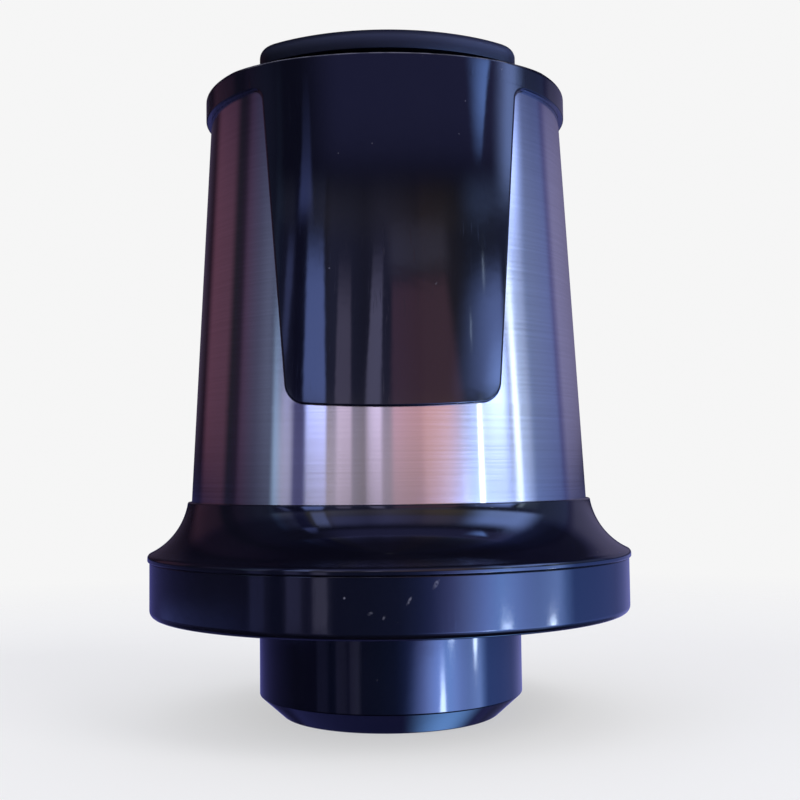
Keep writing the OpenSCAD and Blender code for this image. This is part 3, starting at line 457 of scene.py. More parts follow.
def make_hub():
    """Hub with its drive well; each corner of the outline is a radius, a height and a rounding."""
    hub = lathe("hub_shell", rounded([
        (WELL_R, 0, 0.6),
        (HUB_R - HUB_CHAMFER_W, 0, 1.4),
        (HUB_R, HUB_CHAMFER_H, 0.5),
        (HUB_R, SPIGOT_TOP, 0.3),
        (HUB_R - NECK_IN, SPIGOT_TOP, 0),
        (HUB_R - NECK_IN, FLANGE_Z, 0),
        (FLANGE_R, FLANGE_Z, 0),
        (FLANGE_R, HUB_TOP, 0),
        (HUB_R - HUB_WALL, HUB_TOP, 0),
        (HUB_R - HUB_WALL, RING_Z, 0),
        (TROUGH_R, RING_Z, 0),
        (TROUGH_R, WELL_WALL, 0),
        (WELL_R + WELL_WALL, WELL_WALL, 0),
        (WELL_R + WELL_WALL, CHAMBER_Z, 0),
        (BUSH_R + BUSH_WALL, CHAMBER_Z, 0),
        (BUSH_R + BUSH_WALL, BUSH_TOP, 0),
        (BUSH_R, BUSH_TOP, 0),
        (BUSH_R, CHAMBER_Z, 0),
        (SEAL_R, CHAMBER_Z, 0),
        (SEAL_R, WELL_DEPTH, 0.3),
        (WELL_R, WELL_DEPTH, 1.0),
    ]))
    carve(hub, rods_round(HUB_SCREW_ANGLES, HUB_SCREW_R, BOSS_R, FLANGE_Z, HUB_TOP), "UNION")
    holes = rods_round(HUB_SCREW_ANGLES, HUB_SCREW_R, SCREW_R, FLANGE_Z - PAST, HUB_TOP + PAST)
    carve(hub, holes, "DIFFERENCE")
    return hub


def make_rim():
    """Rim with a deck for the screws; the outline is given as for the hub."""
    inner = RIM_R - RIM_WALL
    rim = lathe("rim_ring", rounded([
        (HUB_R + HUB_CLEAR, FLANGE_Z, 0),
        (HUB_R + HUB_CLEAR, DECK_Z, 0),
        (inner, DECK_Z, 1.2),
        (inner, RIM_BOTTOM, 0.5),
        (RIM_R, RIM_BOTTOM, RIM_EDGE),
        (RIM_R, RIM_TOP, 0.25),
        (inner, RIM_TOP, 0),
        (inner, FLANGE_Z, 0),
    ]))
    boss_z = DECK_Z - BOSS_H
    top = FLANGE_Z + PAST
    carve(rim, rods_round(HUB_SCREW_ANGLES, HUB_SCREW_R, BOSS_R, boss_z, DECK_Z + PAST), "UNION")
    carve(rim, rods_round(HUB_SCREW_ANGLES, HUB_SCREW_R, SCREW_R, boss_z + PAST, top), "DIFFERENCE")
    carve(rim, rods_round(BASE_SCREW_ANGLES, BASE_SCREW_R, SCREW_R, DECK_Z - PAST, top), "DIFFERENCE")
    return rim


def make_skirt():
    """Skirt: lip, bead and bowed flare outside, the sleeve's seat and a tongue for the rim inside."""
    top_r = BODY_BOTTOM_R + SKIRT_PROUD
    tongue = RIM_R - RIM_WALL - FIT
    lip = 0.35
    bead = arc(LIP_R - LIP_BEAD, RIM_TOP + LIP_H - LIP_BEAD, LIP_BEAD, 0, 55, 8)
    flare = bowed(bead[-1], (top_r, SKIRT_TOP - lip), SKIRT_SAG)
    tube_r = BODY_BOTTOM_R - SKIRT_TUBE_IN
    outline = arc(LIP_R - lip, RIM_TOP + lip, lip, -90, 0, 5)
    outline += [(LIP_R, RIM_TOP + lip + SUPPORT), (LIP_R, RIM_TOP + LIP_H - LIP_BEAD - SUPPORT)]
    outline += bead + flare[1:]
    outline += arc(top_r - lip, SKIRT_TOP - lip, lip, 10, 90, 5)
    outline += [
        (steel_at(SKIRT_TOP) + FIT, SKIRT_TOP),
        (steel_at(STEEL_BOTTOM) + FIT, STEEL_BOTTOM),
        (tube_r, STEEL_BOTTOM),
        (tube_r, STEEL_BOTTOM - SKIRT_TUBE_H),
        (tongue - TONGUE_T, RIM_TOP + TONGUE_H),
        (tongue - TONGUE_T, RIM_TOP - TONGUE_H),
        (tongue, RIM_TOP - TONGUE_H),
        (tongue, RIM_TOP),
    ]
    return lathe("flared_skirt", outline)


def make_sleeve():
    """Steel sleeve: a cone whose sheet stops at the edge of the panel's window."""
    back_columns = 200
    lower_rows = 14
    drill = 10
    side = panel_side(FIT)
    bm = bmesh.new()
    rows = []
    for half, z in side:
        r = steel_at(z)
        edge = math.asin(half / r)
        row = []
        for j in range(back_columns + 1):
            a = edge + (2 * math.pi - 2 * edge) * j / back_columns
            row.append((r * math.sin(a), -r * math.cos(a), z))
        rows.append(row)
    upper = fill_grid(bm, rows)
    half, z0 = side[0]
    sill = []
    for j in range(1, PANEL_COLUMNS):
        share = 2 * j / PANEL_COLUMNS - 1
        sill.append(on_cone(half * share, z0 - bow_at(share, z0), 0))
    loop = upper[0] + [bm.verts.new(Vector(p) * MM) for p in sill]
    start = [v.co / MM for v in loop]
    for i in range(1, lower_rows + 1):
        ring = []
        for p in start:
            z = p.z + (STEEL_BOTTOM - p.z) * i / lower_rows
            scale = steel_at(z) / steel_at(p.z)
            ring.append((p.x * scale, p.y * scale, z))
        loop = bridge(bm, loop, [bm.verts.new(Vector(p) * MM) for p in ring])
    sleeve = finish_mesh("steel_sleeve", bm)
    sheet = sleeve.modifiers.new("sheet", "SOLIDIFY")
    sheet.thickness = STEEL_T * MM
    sheet.offset = -1
    freeze(sleeve)
    hole = rod((0, GLAND_Z), GLAND_R, BODY_BOTTOM_R - drill, BODY_BOTTOM_R + drill, "Y")
    carve(sleeve, [hole], "DIFFERENCE")
    return sleeve


def make_collar():
    """Collar with the plate's recess and the spring well, and the front panel in the same moulding."""
    floor = COLLAR_BOTTOM + POCKET_FLOOR
    seat = SPRING_WELL_Z + SPRING_WELL_WALL
    well_out = SPRING_WELL_R + SPRING_WELL_WALL
    guide = STEM_R + GUIDE_CLEAR
    guide_out = guide + GUIDE_WALL
    broken, half_broken = 0.2, 0.06
    slot_in = steel_at(COLLAR_BOTTOM) - STEEL_T - FIT
    slot_out = steel_at(COLLAR_BOTTOM) + FIT
    slot_top = STEEL_TOP + 0.1

    def pocket(a):
        return plate_radius(a, PLATE_GAP)

    def top(a, r):
        ahead = max(0.0, -r * math.sin(a) - DIP_START)
        return COLLAR_TOP - ahead * COLLAR_DIP / (COLLAR_R - DIP_START)

    def edge(a):
        cut = min(1.0, (COLLAR_TOP - top(a, COLLAR_R)) / COLLAR_EDGE)
        return COLLAR_EDGE + (FRONT_EDGE - COLLAR_EDGE) * cut

    def upper_edge(turn):
        """A line round the collar's rounded upper edge, turned up by an angle from the outer wall."""
        def radius(a):
            return COLLAR_R - edge(a) * (1 - math.cos(turn))
        return radius, lambda a, r: top(a, r) - edge(a) * (1 - math.sin(turn))

    below_edge = (COLLAR_R, lambda a, r: top(a, r) - edge(a) - SUPPORT)

    def below_top(depth):
        return lambda a, r: top(a, r) - depth

    outline = [
        (well_out, SPRING_WELL_Z), (well_out, COLLAR_BOTTOM), (slot_in, COLLAR_BOTTOM),
        (slot_in, slot_top), (slot_out, slot_top), (slot_out, COLLAR_BOTTOM),
    ]
    outline += arc(COLLAR_R - PANEL_EDGE, COLLAR_BOTTOM + PANEL_EDGE, PANEL_EDGE, -90, 0)
    outline += [(COLLAR_R, COLLAR_BOTTOM + PANEL_EDGE + SUPPORT), below_edge]
    outline += [upper_edge(math.radians(90 * i / 8)) for i in range(9)]
    outline += [
        (lambda a: pocket(a) + broken, top), (lambda a: pocket(a) + half_broken, below_top(half_broken)),
        (pocket, below_top(broken)), (pocket, floor),
    ]
    outline += [
        (SPRING_WELL_R, floor), (SPRING_WELL_R, seat), (guide_out, seat), (guide_out, floor),
        (guide, floor), (guide, SPRING_WELL_Z),
    ]
    bm = bmesh.new()
    loft(bm, [polar_ring(r, z) for r, z in outline], closed=True)
    collar = finish_mesh("collar_moulding", bm)
    bm = bmesh.new()
    add_panel(bm)
    carve(collar, [finish_mesh("panel", bm)], "UNION")
    return collar


def make_plate():
    """Press plate with a soft edge and a faint crown, open below round its guide stem."""
    bm = bmesh.new()
    crown = 0.25
    wall = 2.2
    foot, half_foot = 0.25, 0.07
    edge_rows = 10
    under = PLATE_TOP - PLATE_T

    def inset(d):
        return lambda a: plate_radius(a, -d)

    rings = [polar_ring(inset(wall), under), polar_ring(inset(wall), PLATE_BOTTOM)]
    rings += [polar_ring(inset(foot), PLATE_BOTTOM), polar_ring(inset(half_foot), PLATE_BOTTOM + half_foot)]
    rings += [polar_ring(inset(0.0), PLATE_BOTTOM + foot)]
    for i in range(edge_rows + 1):
        a = math.radians(90 * i / edge_rows)
        depth = PLATE_EDGE * (1 - math.cos(a))
        rings.append(polar_ring(inset(depth), PLATE_TOP - crown - PLATE_EDGE * (1 - math.sin(a))))
    for share in (0.9, 0.75, 0.5, 0.25):
        def shrunk(a, share=share):
            return plate_radius(a, -PLATE_EDGE) * share
        rings.append(polar_ring(shrunk, PLATE_TOP - crown * share * share))
    loops = loft(bm, rings, closed=False)
    cap(bm, loops[-1], PLATE_TOP)
    nub_low = low("top_button", 2)
    stem_low = nub_low + NUB_H
    stem = [(STEM_R, under), (STEM_R, stem_low + STEM_EDGE)]
    stem += [(STEM_R - STEM_EDGE, stem_low), (NUB_R, stem_low)]
    stem += arc(0, nub_low + NUB_R, NUB_R, 0, -80, 6)
    stem_loops = loft(bm, [polar_ring(r, z) for r, z in stem], closed=False)
    bridge(bm, loops[0], stem_loops[0])
    cap(bm, stem_loops[-1], nub_low)
    return finish_mesh("press_plate", bm)


def make_spring():
    """Return spring under the press plate: one wire wound in a helix whose end turns lie flat."""
    foot, head = low("button_spring", 2) + WIRE_R, high("button_spring", 2) - WIRE_R
    coil_r = high("button_spring", 0) - WIRE_R
    flat = 0.1
    steps, sides = 60 * SPRING_TURNS, 12
    rings = []
    for i in range(steps + 1):
        along = i / steps
        turn = 2 * math.pi * SPRING_TURNS * along
        z = foot + (head - foot) * min(1.0, max(0.0, (along - flat) / (1 - 2 * flat)))
        ring = []
        for k in range(sides):
            a = 2 * math.pi * k / sides
            r = coil_r + WIRE_R * math.cos(a)
            ring.append((r * math.cos(turn), r * math.sin(turn), z + WIRE_R * math.sin(a)))
        rings.append(ring)
    bm = bmesh.new()
    loops = loft(bm, rings, closed=False)
    for end in (loops[0], loops[-1]):
        bm.faces.new(end)
    return finish_mesh("return_spring", bm)


# Shader helpers

def put(tree, kind, inputs=None, **settings):
    """Adds a shader node; inputs are values or sockets to link from."""
    made = tree.nodes.new("ShaderNode" + kind)
    for key, value in settings.items():
        setattr(made, key, value)
    for key, value in (inputs or {}).items():
        socket = made.inputs[key]
        if isinstance(value, bpy.types.NodeSocket):
            tree.links.new(value, socket)
        else:
            socket.default_value = value
    return made


def noise(tree, stretch, detail=2.0, turn=(0, 0, 0)):
    """Noise over the part's own metres, with cells of one over stretch along each axis."""
    spread = put(tree, "Mapping", {"Vector": own_place(tree), "Scale": stretch, "Rotation": turn})
    made = put(tree, "TexNoise", {"Vector": spread.outputs["Vector"], "Scale": 1.0, "Detail": detail})
    return made.outputs["Fac"]


def span(tree, value, lo, hi, out_lo, out_hi):
    """Maps a value from one range to another."""
    made = put(tree, "MapRange", {0: value, 1: lo, 2: hi, 3: out_lo, 4: out_hi})
    return made.outputs[0]


def math_node(tree, operation, a, b=0.0):
    return put(tree, "Math", {0: a, 1: b}, operation=operation).outputs[0]


def times(tree, result, *factors):
    for factor in factors:
        result = math_node(tree, "MULTIPLY", result, factor)
    return result


def blend(tree, share, a, b, kind="MIX"):
    """Mixes two colours."""
    return put(tree, "Mix", {"Factor": share, 6: a, 7: b}, data_type="RGBA", blend_type=kind).outputs[2]


def own_place(tree):
    """The part's own coordinates in metres."""
    return put(tree, "TexCoord").outputs["Object"]


def axes(tree, vector):
    return put(tree, "SeparateXYZ", {"Vector": vector}).outputs


def tones(tree, value, stops):
    """Colour ramp with stops of (position, red, green, blue)."""
    ramp = put(tree, "ValToRGB", {"Fac": value})
    elements = ramp.color_ramp.elements
    while len(elements) < len(stops):
        elements.new(0.5)
    for element, (position, red, green, blue) in zip(elements, stops):
        element.position = position
        element.color = (red, green, blue, 1)
    return ramp.outputs["Color"]


def principled(name, **values):
    """A new material with plain values set on its Principled shader."""
    mat = bpy.data.materials.new(name)
    mat.use_nodes = True
    tree = mat.node_tree
    shader = tree.nodes["Principled BSDF"]
    for key, value in values.items():
        shader.inputs[key.replace("_", " ")].default_value = value
    return mat, tree, shader


def feed(tree, shader, name, socket):
    tree.links.new(socket, shader.inputs[name])


def bump(tree, shader, height, strength, depth):
    made = put(tree, "Bump", {"Height": height, "Strength": strength, "Distance": depth})
    tree.links.new(made.outputs["Normal"], shader.inputs["Normal"])


# Materials

def scratches(tree, turn):
    """Sparse hairlines along one direction, 1 on a line and 0 elsewhere."""
    lines = noise(tree, (3500, 3500, 60), 0.0, turn)
    patches = noise(tree, (45, 45, 45), 1.0, turn)
    fine = span(tree, lines, 0.715, 0.76, 0.0, 1.0)
    return times(tree, fine, span(tree, patches, 0.5, 0.65, 0.0, 1.0))


def dust(tree, cells):
    """Small specks, 1 inside a speck, in some of the cells."""
    speck = put(tree, "TexVoronoi", {"Vector": own_place(tree), "Scale": cells})
    near = span(tree, speck.outputs["Distance"], 0.02, 0.04, 1.0, 0.0)
    pick = put(tree, "SeparateColor", {"Color": speck.outputs["Color"]}).outputs[0]
    return times(tree, near, span(tree, pick, 0.86, 0.88, 0.0, 1.0))


def edge_highlight_mask(tree):
    """1 along the collar's front upper edge, where a highlight is painted into the colour and the gloss is
    made duller, and 0 elsewhere.
    """
    where = axes(tree, own_place(tree))
    facing = axes(tree, put(tree, "NewGeometry").outputs["Normal"])["Z"]
    edge_z = (COLLAR_TOP - COLLAR_DIP) * MM
    front = span(tree, where["Y"], -0.036, -0.030, 1.0, 0.0)
    upper = span(tree, where["Z"], edge_z - 0.0008, edge_z - 0.0004, 0.0, 1.0)
    turned = times(tree, span(tree, facing, 0.15, 0.4, 0.0, 1.0), span(tree, facing, 0.93, 0.98, 1.0, 0.0))
    patchy = span(tree, noise(tree, (300, 300, 300), 2.0), 0.35, 0.6, 0.3, 1.0)
    return times(tree, front, upper, turned, patchy)


# Scuffs on the front: across and up in millimetres, half length, half width and lean in degrees
SCUFFS = [
    (7.8, 37.2, 1.3, 0.5, 55), (2.2, 33.9, 1.2, 0.35, 60), (-5.8, 31.4, 0.7, 0.4, 20),
    (-3.0, 30.6, 0.6, 0.3, 70), (-11.1, 34.6, 0.3, 0.3, 0), (9.5, 101.5, 0.45, 0.25, 60),
    (16.9, 143.5, 0.22, 0.22, 0), (25.9, 152.4, 0.35, 0.15, 50), (-13.9, 105.2, 0.2, 0.2, 0),
]


def scuffs(tree):
    """1 on the few small marks that the front has, and 0 elsewhere."""
    where = own_place(tree)
    front = span(tree, axes(tree, where)["Y"], -0.034, -0.032, 1.0, 0.0)

    def squared(c, s, centre, half):
        """Square of the distance from a mark's centre along (c, s), in half lengths."""
        way = (c / half / MM, 0, s / half / MM)
        far = put(tree, "VectorMath", {0: where, 1: way}, operation="DOT_PRODUCT").outputs["Value"]
        off = math_node(tree, "SUBTRACT", far, centre / half)
        return times(tree, off, off)

    most = 0.0
    for across, up, length, width, lean in SCUFFS:
        c, s = math.cos(math.radians(lean)), math.sin(math.radians(lean))
        along = squared(c, s, across * c + up * s, length)
        aside = squared(-s, c, up * c - across * s, width)
        reach = math_node(tree, "ADD", along, aside)
        most = math_node(tree, "MAXIMUM", span(tree, reach, 0.0, 1.0, 1.0, 0.0), most)
    patchy = span(tree, noise(tree, (1500, 1500, 1500), 2.0), 0.35, 0.65, 0.05, 1.0)
    return times(tree, most, front, patchy)


def gloss_black():
    """Polished black moulding with faint smears, hairline scratches, scuffs, a little dust and a painted
    highlight along the collar's front upper edge.
    """
    mat, tree, shader = principled("gloss_black", IOR=1.54, Specular_Tint=(0.75, 0.85, 1.0, 1))
    smears = noise(tree, (40, 40, 25), 4.0)
    marks = math_node(tree, "MAXIMUM", scratches(tree, (0.2, 0.9, 0.3)), scratches(tree, (1.2, -0.4, 0.8)))
    specks = dust(tree, 260.0)
    base = tones(tree, smears, [(0.3, 0.0024, 0.0024, 0.0064), (0.7, 0.0040, 0.0040, 0.0092)])
    dusty = blend(tree, times(tree, specks, 0.5), base, (0.16, 0.15, 0.17, 1))
    # Painted highlight on the collar's front upper edge, together with the real scuffs: both make the colour
    # paler and the gloss duller.
    edge_highlight_and_scuffs = math_node(tree, "MAXIMUM", edge_highlight_mask(tree), scuffs(tree))
    feed(tree, shader, "Base Color", blend(tree, edge_highlight_and_scuffs, dusty, (0.13, 0.13, 0.17, 1)))
    rough = span(tree, smears, 0.3, 0.75, 0.05, 0.11)
    for mark, duller in ((edge_highlight_and_scuffs, 0.3), (marks, 0.10), (specks, 0.4)):
        rough = math_node(tree, "ADD", rough, times(tree, mark, duller))
    feed(tree, shader, "Roughness", rough)
    bump(tree, shader, noise(tree, (330, 330, 330), 1.0), 0.07, 0.0001)
    return mat


def soft_black():
    """Soft-touch black coating with a fine grain and patchy wear in its tone. It has a painted sheen band
    across its face, painted shade towards its lower edge and on its top, and painted light that makes it
    paler to the right.
    """
    mat, tree, shader = principled("soft_black", IOR=1.45, Specular_Tint=(0.7, 0.82, 1.0, 1))
    wear = noise(tree, (50, 50, 50), 3.0)
    where = axes(tree, own_place(tree))
    height = span(tree, where["Z"], PLATE_BOTTOM * MM, PLATE_TOP * MM, 0.0, 1.0)
    # Painted light by height: a lighter sheen band across the face, painted shade towards the lower edge and
    # a darker top.
    sheen_and_shade_by_height = tones(tree, height, [
        (0.0, 0.003, 0.003, 0.006), (0.28, 0.007, 0.0075, 0.016), (0.6, 0.019, 0.022, 0.046),
        (0.8, 0.012, 0.013, 0.030), (0.98, 0.006, 0.006, 0.014),
    ])
    # Painted light: the plate's colour rises towards the right, as if more light fell on that side.
    across = span(tree, where["X"], -PLATE_HALF * MM, PLATE_HALF * MM, 0.45, 1.45)
    tone = times(tree, across, span(tree, wear, 0.3, 0.7, 0.8, 1.0))
    feed(tree, shader, "Base Color", blend(tree, 1.0, sheen_and_shade_by_height, tone, "MULTIPLY"))
    feed(tree, shader, "Roughness", span(tree, wear, 0.3, 0.7, 0.42, 0.52))
    bump(tree, shader, noise(tree, (3500, 3500, 3500), 2.0), 0.12, 0.00004)
    return mat


def brushed_body():
    """Steel brushed round the body: its highlights run up and down, across the fine brush lines."""
    mat, tree, shader = principled("brushed_body", Metallic=1.0, Anisotropic=1.0, Anisotropic_Rotation=0.25)
    around = put(tree, "Tangent", direction_type="RADIAL", axis="Z")
    tree.links.new(around.outputs["Tangent"], shader.inputs["Tangent"])
    lines = noise(tree, (18, 18, 2400), 4.0)
    clouds = noise(tree, (40, 40, 14), 2.0)
    grey = math_node(tree, "ADD", lines, span(tree, clouds, 0.3, 0.7, -0.1, 0.1))
    feed(tree, shader, "Base Color", tones(tree, grey, [(0.25, 0.57, 0.56, 0.57), (0.75, 0.66, 0.65, 0.66)]))
    feed(tree, shader, "Roughness", span(tree, lines, 0.25, 0.75, 0.135, 0.155))
    bump(tree, shader, lines, 0.02, 0.00002)
    return mat


def moulded(name, dark, light, rough, grain=900, depth=0.00004, metallic=0.0):
    """A plain moulded, cast or pressed surface with a slight unevenness."""
    mat, tree, shader = principled(name, Metallic=metallic)
    mottle = noise(tree, (120, 120, 120), 4.0)
    feed(tree, shader, "Base Color", tones(tree, mottle, [(0.3, *dark), (0.7, *light)]))
    feed(tree, shader, "Roughness", span(tree, mottle, 0.3, 0.7, rough - 0.06, rough + 0.06))
    bump(tree, shader, noise(tree, (grain, grain, grain), 2.0), 0.3, depth)
    return mat


def layered(name, dark, light, rough, stretch, metallic=1.0, depth=0.00005):
    """A surface with parallel lines: turned, laminated or wound."""
    mat, tree, shader = principled(name, Metallic=metallic)
    lines = noise(tree, stretch, 2.0)
    feed(tree, shader, "Base Color", tones(tree, lines, [(0.3, *dark), (0.7, *light)]))
    feed(tree, shader, "Roughness", span(tree, lines, 0.3, 0.7, rough - 0.08, rough + 0.08))
    bump(tree, shader, lines, 0.4, depth)
    return mat


def all_materials():
    """One finish for each material slot of the record."""
    return {
        "gloss_black": gloss_black(),
        "soft_black": soft_black(),
        "brushed_body": brushed_body(),
        "inner_plastic": moulded("inner_plastic", (0.020, 0.020, 0.023), (0.034, 0.034, 0.037), 0.48),
        "nylon": moulded("nylon", (0.66, 0.63, 0.52), (0.74, 0.72, 0.62), 0.40),
        "rubber": moulded("rubber", (0.012, 0.012, 0.013), (0.022, 0.022, 0.023), 0.62, 1800),
        "machined_steel": layered(
            "machined_steel", (0.50, 0.50, 0.52), (0.68, 0.68, 0.69), 0.26, (60, 60, 3000)),
        "lamination": layered("lamination", (0.11, 0.11, 0.12), (0.26, 0.26, 0.27), 0.42, (40, 40, 2000)),
        "copper": layered("copper", (0.45, 0.17, 0.07), (0.72, 0.33, 0.15), 0.32, (900, 900, 60)),
        "brass": layered("brass", (0.60, 0.43, 0.16), (0.74, 0.56, 0.26), 0.30, (80, 80, 2000)),
        "cast_alloy": moulded("cast_alloy", (0.36, 0.37, 0.39), (0.48, 0.49, 0.51), 0.46, 700, 0.00008, 1.0),
        "carbon": moulded("carbon", (0.016, 0.016, 0.017), (0.032, 0.032, 0.034), 0.55, 1500),
        "capacitor_film": moulded("capacitor_film", (0.48, 0.30, 0.03), (0.58, 0.38, 0.06), 0.30),
        "plunger_red": moulded("plunger_red", (0.38, 0.02, 0.015), (0.50, 0.04, 0.03), 0.35),
    }


def dress_nodes(materials):
    """Puts each CAD node into the finish of its own slot."""
    for part in frame["record"]["subparts"]:
        obj = nodes[part["node"]]
        obj.data.materials.clear()
        obj.data.materials.append(materials[part["material_slot"]])


def attach(piece, body, slot, node, materials):
    """Gives a new piece its body and the finish of its slot, and hides the node that it stands for."""
    piece.data.materials.append(materials[slot])
    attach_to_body(piece, body)
    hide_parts(node)


# Studio

PALE = (0.92, 0.92, 0.92, 1)
FLOOR_HALF = 1.5
FLOOR_DROP = 0.1
FLOOR_GLOW = 0.55
FLOOR_FADE = (0.16, 0.42)
AIM = Vector((0, 0, 0.08))


def emission_tree(name):
    mat = bpy.data.materials.new(name)
    mat.use_nodes = True
    tree = mat.node_tree
    tree.nodes.remove(tree.nodes["Principled BSDF"])
    return mat, tree, tree.nodes["Material Output"]


def seen_directly(tree):
    """1 for camera, glossy and transmission rays, 0 for the rays that carry soft light."""
    path = put(tree, "LightPath").outputs
    either = math_node(tree, "MAXIMUM", path["Is Camera Ray"], path["Is Glossy Ray"])
    return math_node(tree, "MAXIMUM", either, path["Is Transmission Ray"])


def make_world():
    world = bpy.data.worlds.new("studio")
    bpy.context.scene.world = world
    world.use_nodes = True
    tree = world.node_tree
    tree.nodes.clear()
    soft = put(tree, "Background", {"Color": (0.90, 0.91, 1.0, 1), "Strength": 0.75})
    plain = put(tree, "Background", {"Color": PALE, "Strength": 1.0})
    mix = put(tree, "MixShader", {0: seen_directly(tree), 1: soft.outputs[0], 2: plain.outputs[0]})
    put(tree, "OutputWorld", {"Surface": mix.outputs[0]})


def make_floor():
    """Pale floor that keeps the object's shadow and fades out into the backdrop."""
    bm = bmesh.new()
    below = Matrix.Translation((0, 0, -FLOOR_DROP * MM))
    bmesh.ops.create_grid(bm, x_segments=8, y_segments=8, size=FLOOR_HALF, matrix=below)
    floor = finish_mesh("floor", bm)
    mat, tree, output = emission_tree("floor")
    paint = put(tree, "BsdfDiffuse", {"Color": PALE})
    glow = put(tree, "Emission", {"Color": PALE, "Strength": 1.0})
    share = times(tree, put(tree, "LightPath").outputs["Is Camera Ray"], FLOOR_GLOW)
    surface = put(tree, "MixShader", {0: share, 1: paint.outputs[0], 2: glow.outputs[0]})
    reach = put(tree, "VectorMath", {0: own_place(tree)}, operation="LENGTH").outputs["Value"]
    away = span(tree, reach, *FLOOR_FADE, 0.0, 1.0)
    clear = put(tree, "BsdfTransparent")
    faded = put(tree, "MixShader", {0: away, 1: surface.outputs[0], 2: clear.outputs[0]})
    tree.links.new(faded.outputs[0], output.inputs["Surface"])
    floor.data.materials.append(mat)
    floor.visible_glossy = False


def only_in_reflections(obj):
    obj.visible_camera = False
    obj.visible_diffuse = False
    obj.visible_shadow = False
    obj.visible_transmission = False
    obj.visible_volume_scatter = False


# Light round the object by direction: degrees to the right of the camera, then red, green and blue
BANDS = [
    (-180, 0.10, 0.08, 0.14), (-140, 0.02, 0.01, 0.02), (-131, 0.14, 0.06, 0.10), (-110, 0.13, 0.06, 0.10),
    (-104, 0.02, 0.02, 0.03), (-97, 0.03, 0.02, 0.04), (-93, 0.10, 0.06, 0.12), (-82, 0.10, 0.10, 0.18),
    (-70, 0.17, 0.20, 0.33), (-67, 0.70, 1.00, 1.50), (-62, 0.85, 0.85, 1.15), (-57, 0.80, 0.80, 1.15),
    (-55, 0.20, 0.20, 0.46), (-49, 0.20, 0.20, 0.46), (-47, 0.52, 0.44, 0.26), (-37, 0.70, 0.58, 0.50),
    (-33, 0.84, 0.74, 0.84), (-22, 0.66, 0.58, 0.66), (-14, 0.52, 0.44, 0.46), (-3, 0.80, 0.66, 0.74),
    (16, 0.64, 0.44, 0.30), (19, 0.88, 0.57, 0.36), (30, 0.90, 0.61, 0.34), (44, 0.52, 0.47, 0.34),
    (50, 0.42, 0.46, 0.40), (63, 0.46, 0.46, 0.40), (84, 0.42, 0.48, 0.72), (88, 0.24, 0.31, 0.56),
    (112, 0.18, 0.23, 0.52), (116, 0.12, 0.12, 0.32), (123, 0.28, 0.27, 0.50), (180, 0.10, 0.08, 0.14),
]
# Share of that light by height in degrees: nothing below, a warm room, then a bluer and darker ceiling
LEVELS = [
    (-90, 0.0, 0.0, 0.0), (0, 0.0, 0.0, 0.0), (3, 0.85, 0.85, 0.85), (6, 1.0, 1.0, 1.0), (18, 1.0, 1.0, 1.0),
    (22, 1.2, 1.2, 1.25), (28, 0.90, 0.95, 1.3), (50, 0.70, 0.76, 1.35), (57, 0.40, 0.46, 0.85),
    (63, 0.14, 0.16, 0.34), (70, 0.06, 0.06, 0.12), (90, 0.03, 0.03, 0.05),
]
# Shade in front of the object, by direction for each colour and by height
VEIL_TURN = [
    (-180, 0.0, 0.0, 0.0), (-74, 0.0, 0.0, 0.0), (-66, 1.5, 1.5, 1.4), (-42, 1.5, 1.5, 1.35),
    (-34, 1.1, 1.05, 0.7), (70, 1.1, 1.05, 0.6), (82, 1.0, 1.0, 0.7), (92, 0.0, 0.0, 0.0),
    (180, 0.0, 0.0, 0.0),
]
VEIL_RISE = [(-90, 0.0), (8, 0.0), (10, 0.6), (19, 0.6), (22, 0.0), (90, 0.0)]
# Shade on the ceiling to the far left and right
SIDES_TURN = [
    (-180, 0.7), (-75, 0.7), (-62, 0.75), (-50, 0.5), (-46, 0.0), (84, 0.0), (92, 0.5), (105, 0.85),
    (180, 0.9),
]
SIDES_RISE = [(-90, 0.0), (18, 0.0), (30, 1.0), (90, 1.0)]
# Light from the table and what stands on it, by direction and by height
TABLE = [
    (-180, 0.10, 0.10, 0.36), (-150, 0.08, 0.08, 0.28), (-90, 0.02, 0.02, 0.06), (-67, 0.02, 0.02, 0.07),
    (-65, 0.09, 0.09, 0.22), (-57, 0.09, 0.09, 0.22), (-54, 0.02, 0.03, 0.10), (-49, 0.03, 0.04, 0.12),
    (-47, 0.16, 0.15, 0.32), (-40, 0.14, 0.13, 0.27), (-37, 0.06, 0.06, 0.17), (-35, 0.20, 0.18, 0.36),
    (-29, 0.28, 0.26, 0.46), (-26, 0.05, 0.06, 0.16), (-12, 0.05, 0.07, 0.18), (2, 0.06, 0.09, 0.26),
    (10, 0.12, 0.18, 0.55), (16, 0.25, 0.33, 1.00), (25, 0.85, 0.95, 2.40), (31, 1.50, 1.85, 4.20),
    (41, 2.50, 3.50, 8.00), (47, 2.80, 4.50, 9.60), (53, 2.70, 4.00, 8.70), (60, 2.10, 3.00, 6.70),
    (66, 1.85, 2.70, 5.90), (78, 2.10, 3.10, 6.50), (83, 0.90, 1.50, 3.60), (88, 0.34, 0.60, 1.80),
    (104, 0.26, 0.42, 1.30), (125, 0.20, 0.26, 0.75), (145, 0.26, 0.28, 0.70), (180, 0.10, 0.10, 0.36),
]
TABLE_RISE = [
    (-90, 0.0), (-45, 0.0), (-24, 0.5), (-18, 1.25), (-12, 1.3), (-9, 1.05), (-5, 1.0), (-3, 0.5), (0, 0.1),
    (2, 0.0), (90, 0.0),
]
DOME_R = 0.9
DOME_Z = 0.06


def dome_point(turn, rise, r=DOME_R, centre=DOME_Z):
    """A point in millimetres seen from the object at a direction and a height in degrees."""
    a, e = math.radians(turn), math.radians(rise)
    flat = r * math.cos(e)
    return (flat * math.sin(a) / MM, -flat * math.cos(a) / MM, (centre + r * math.sin(e)) / MM)


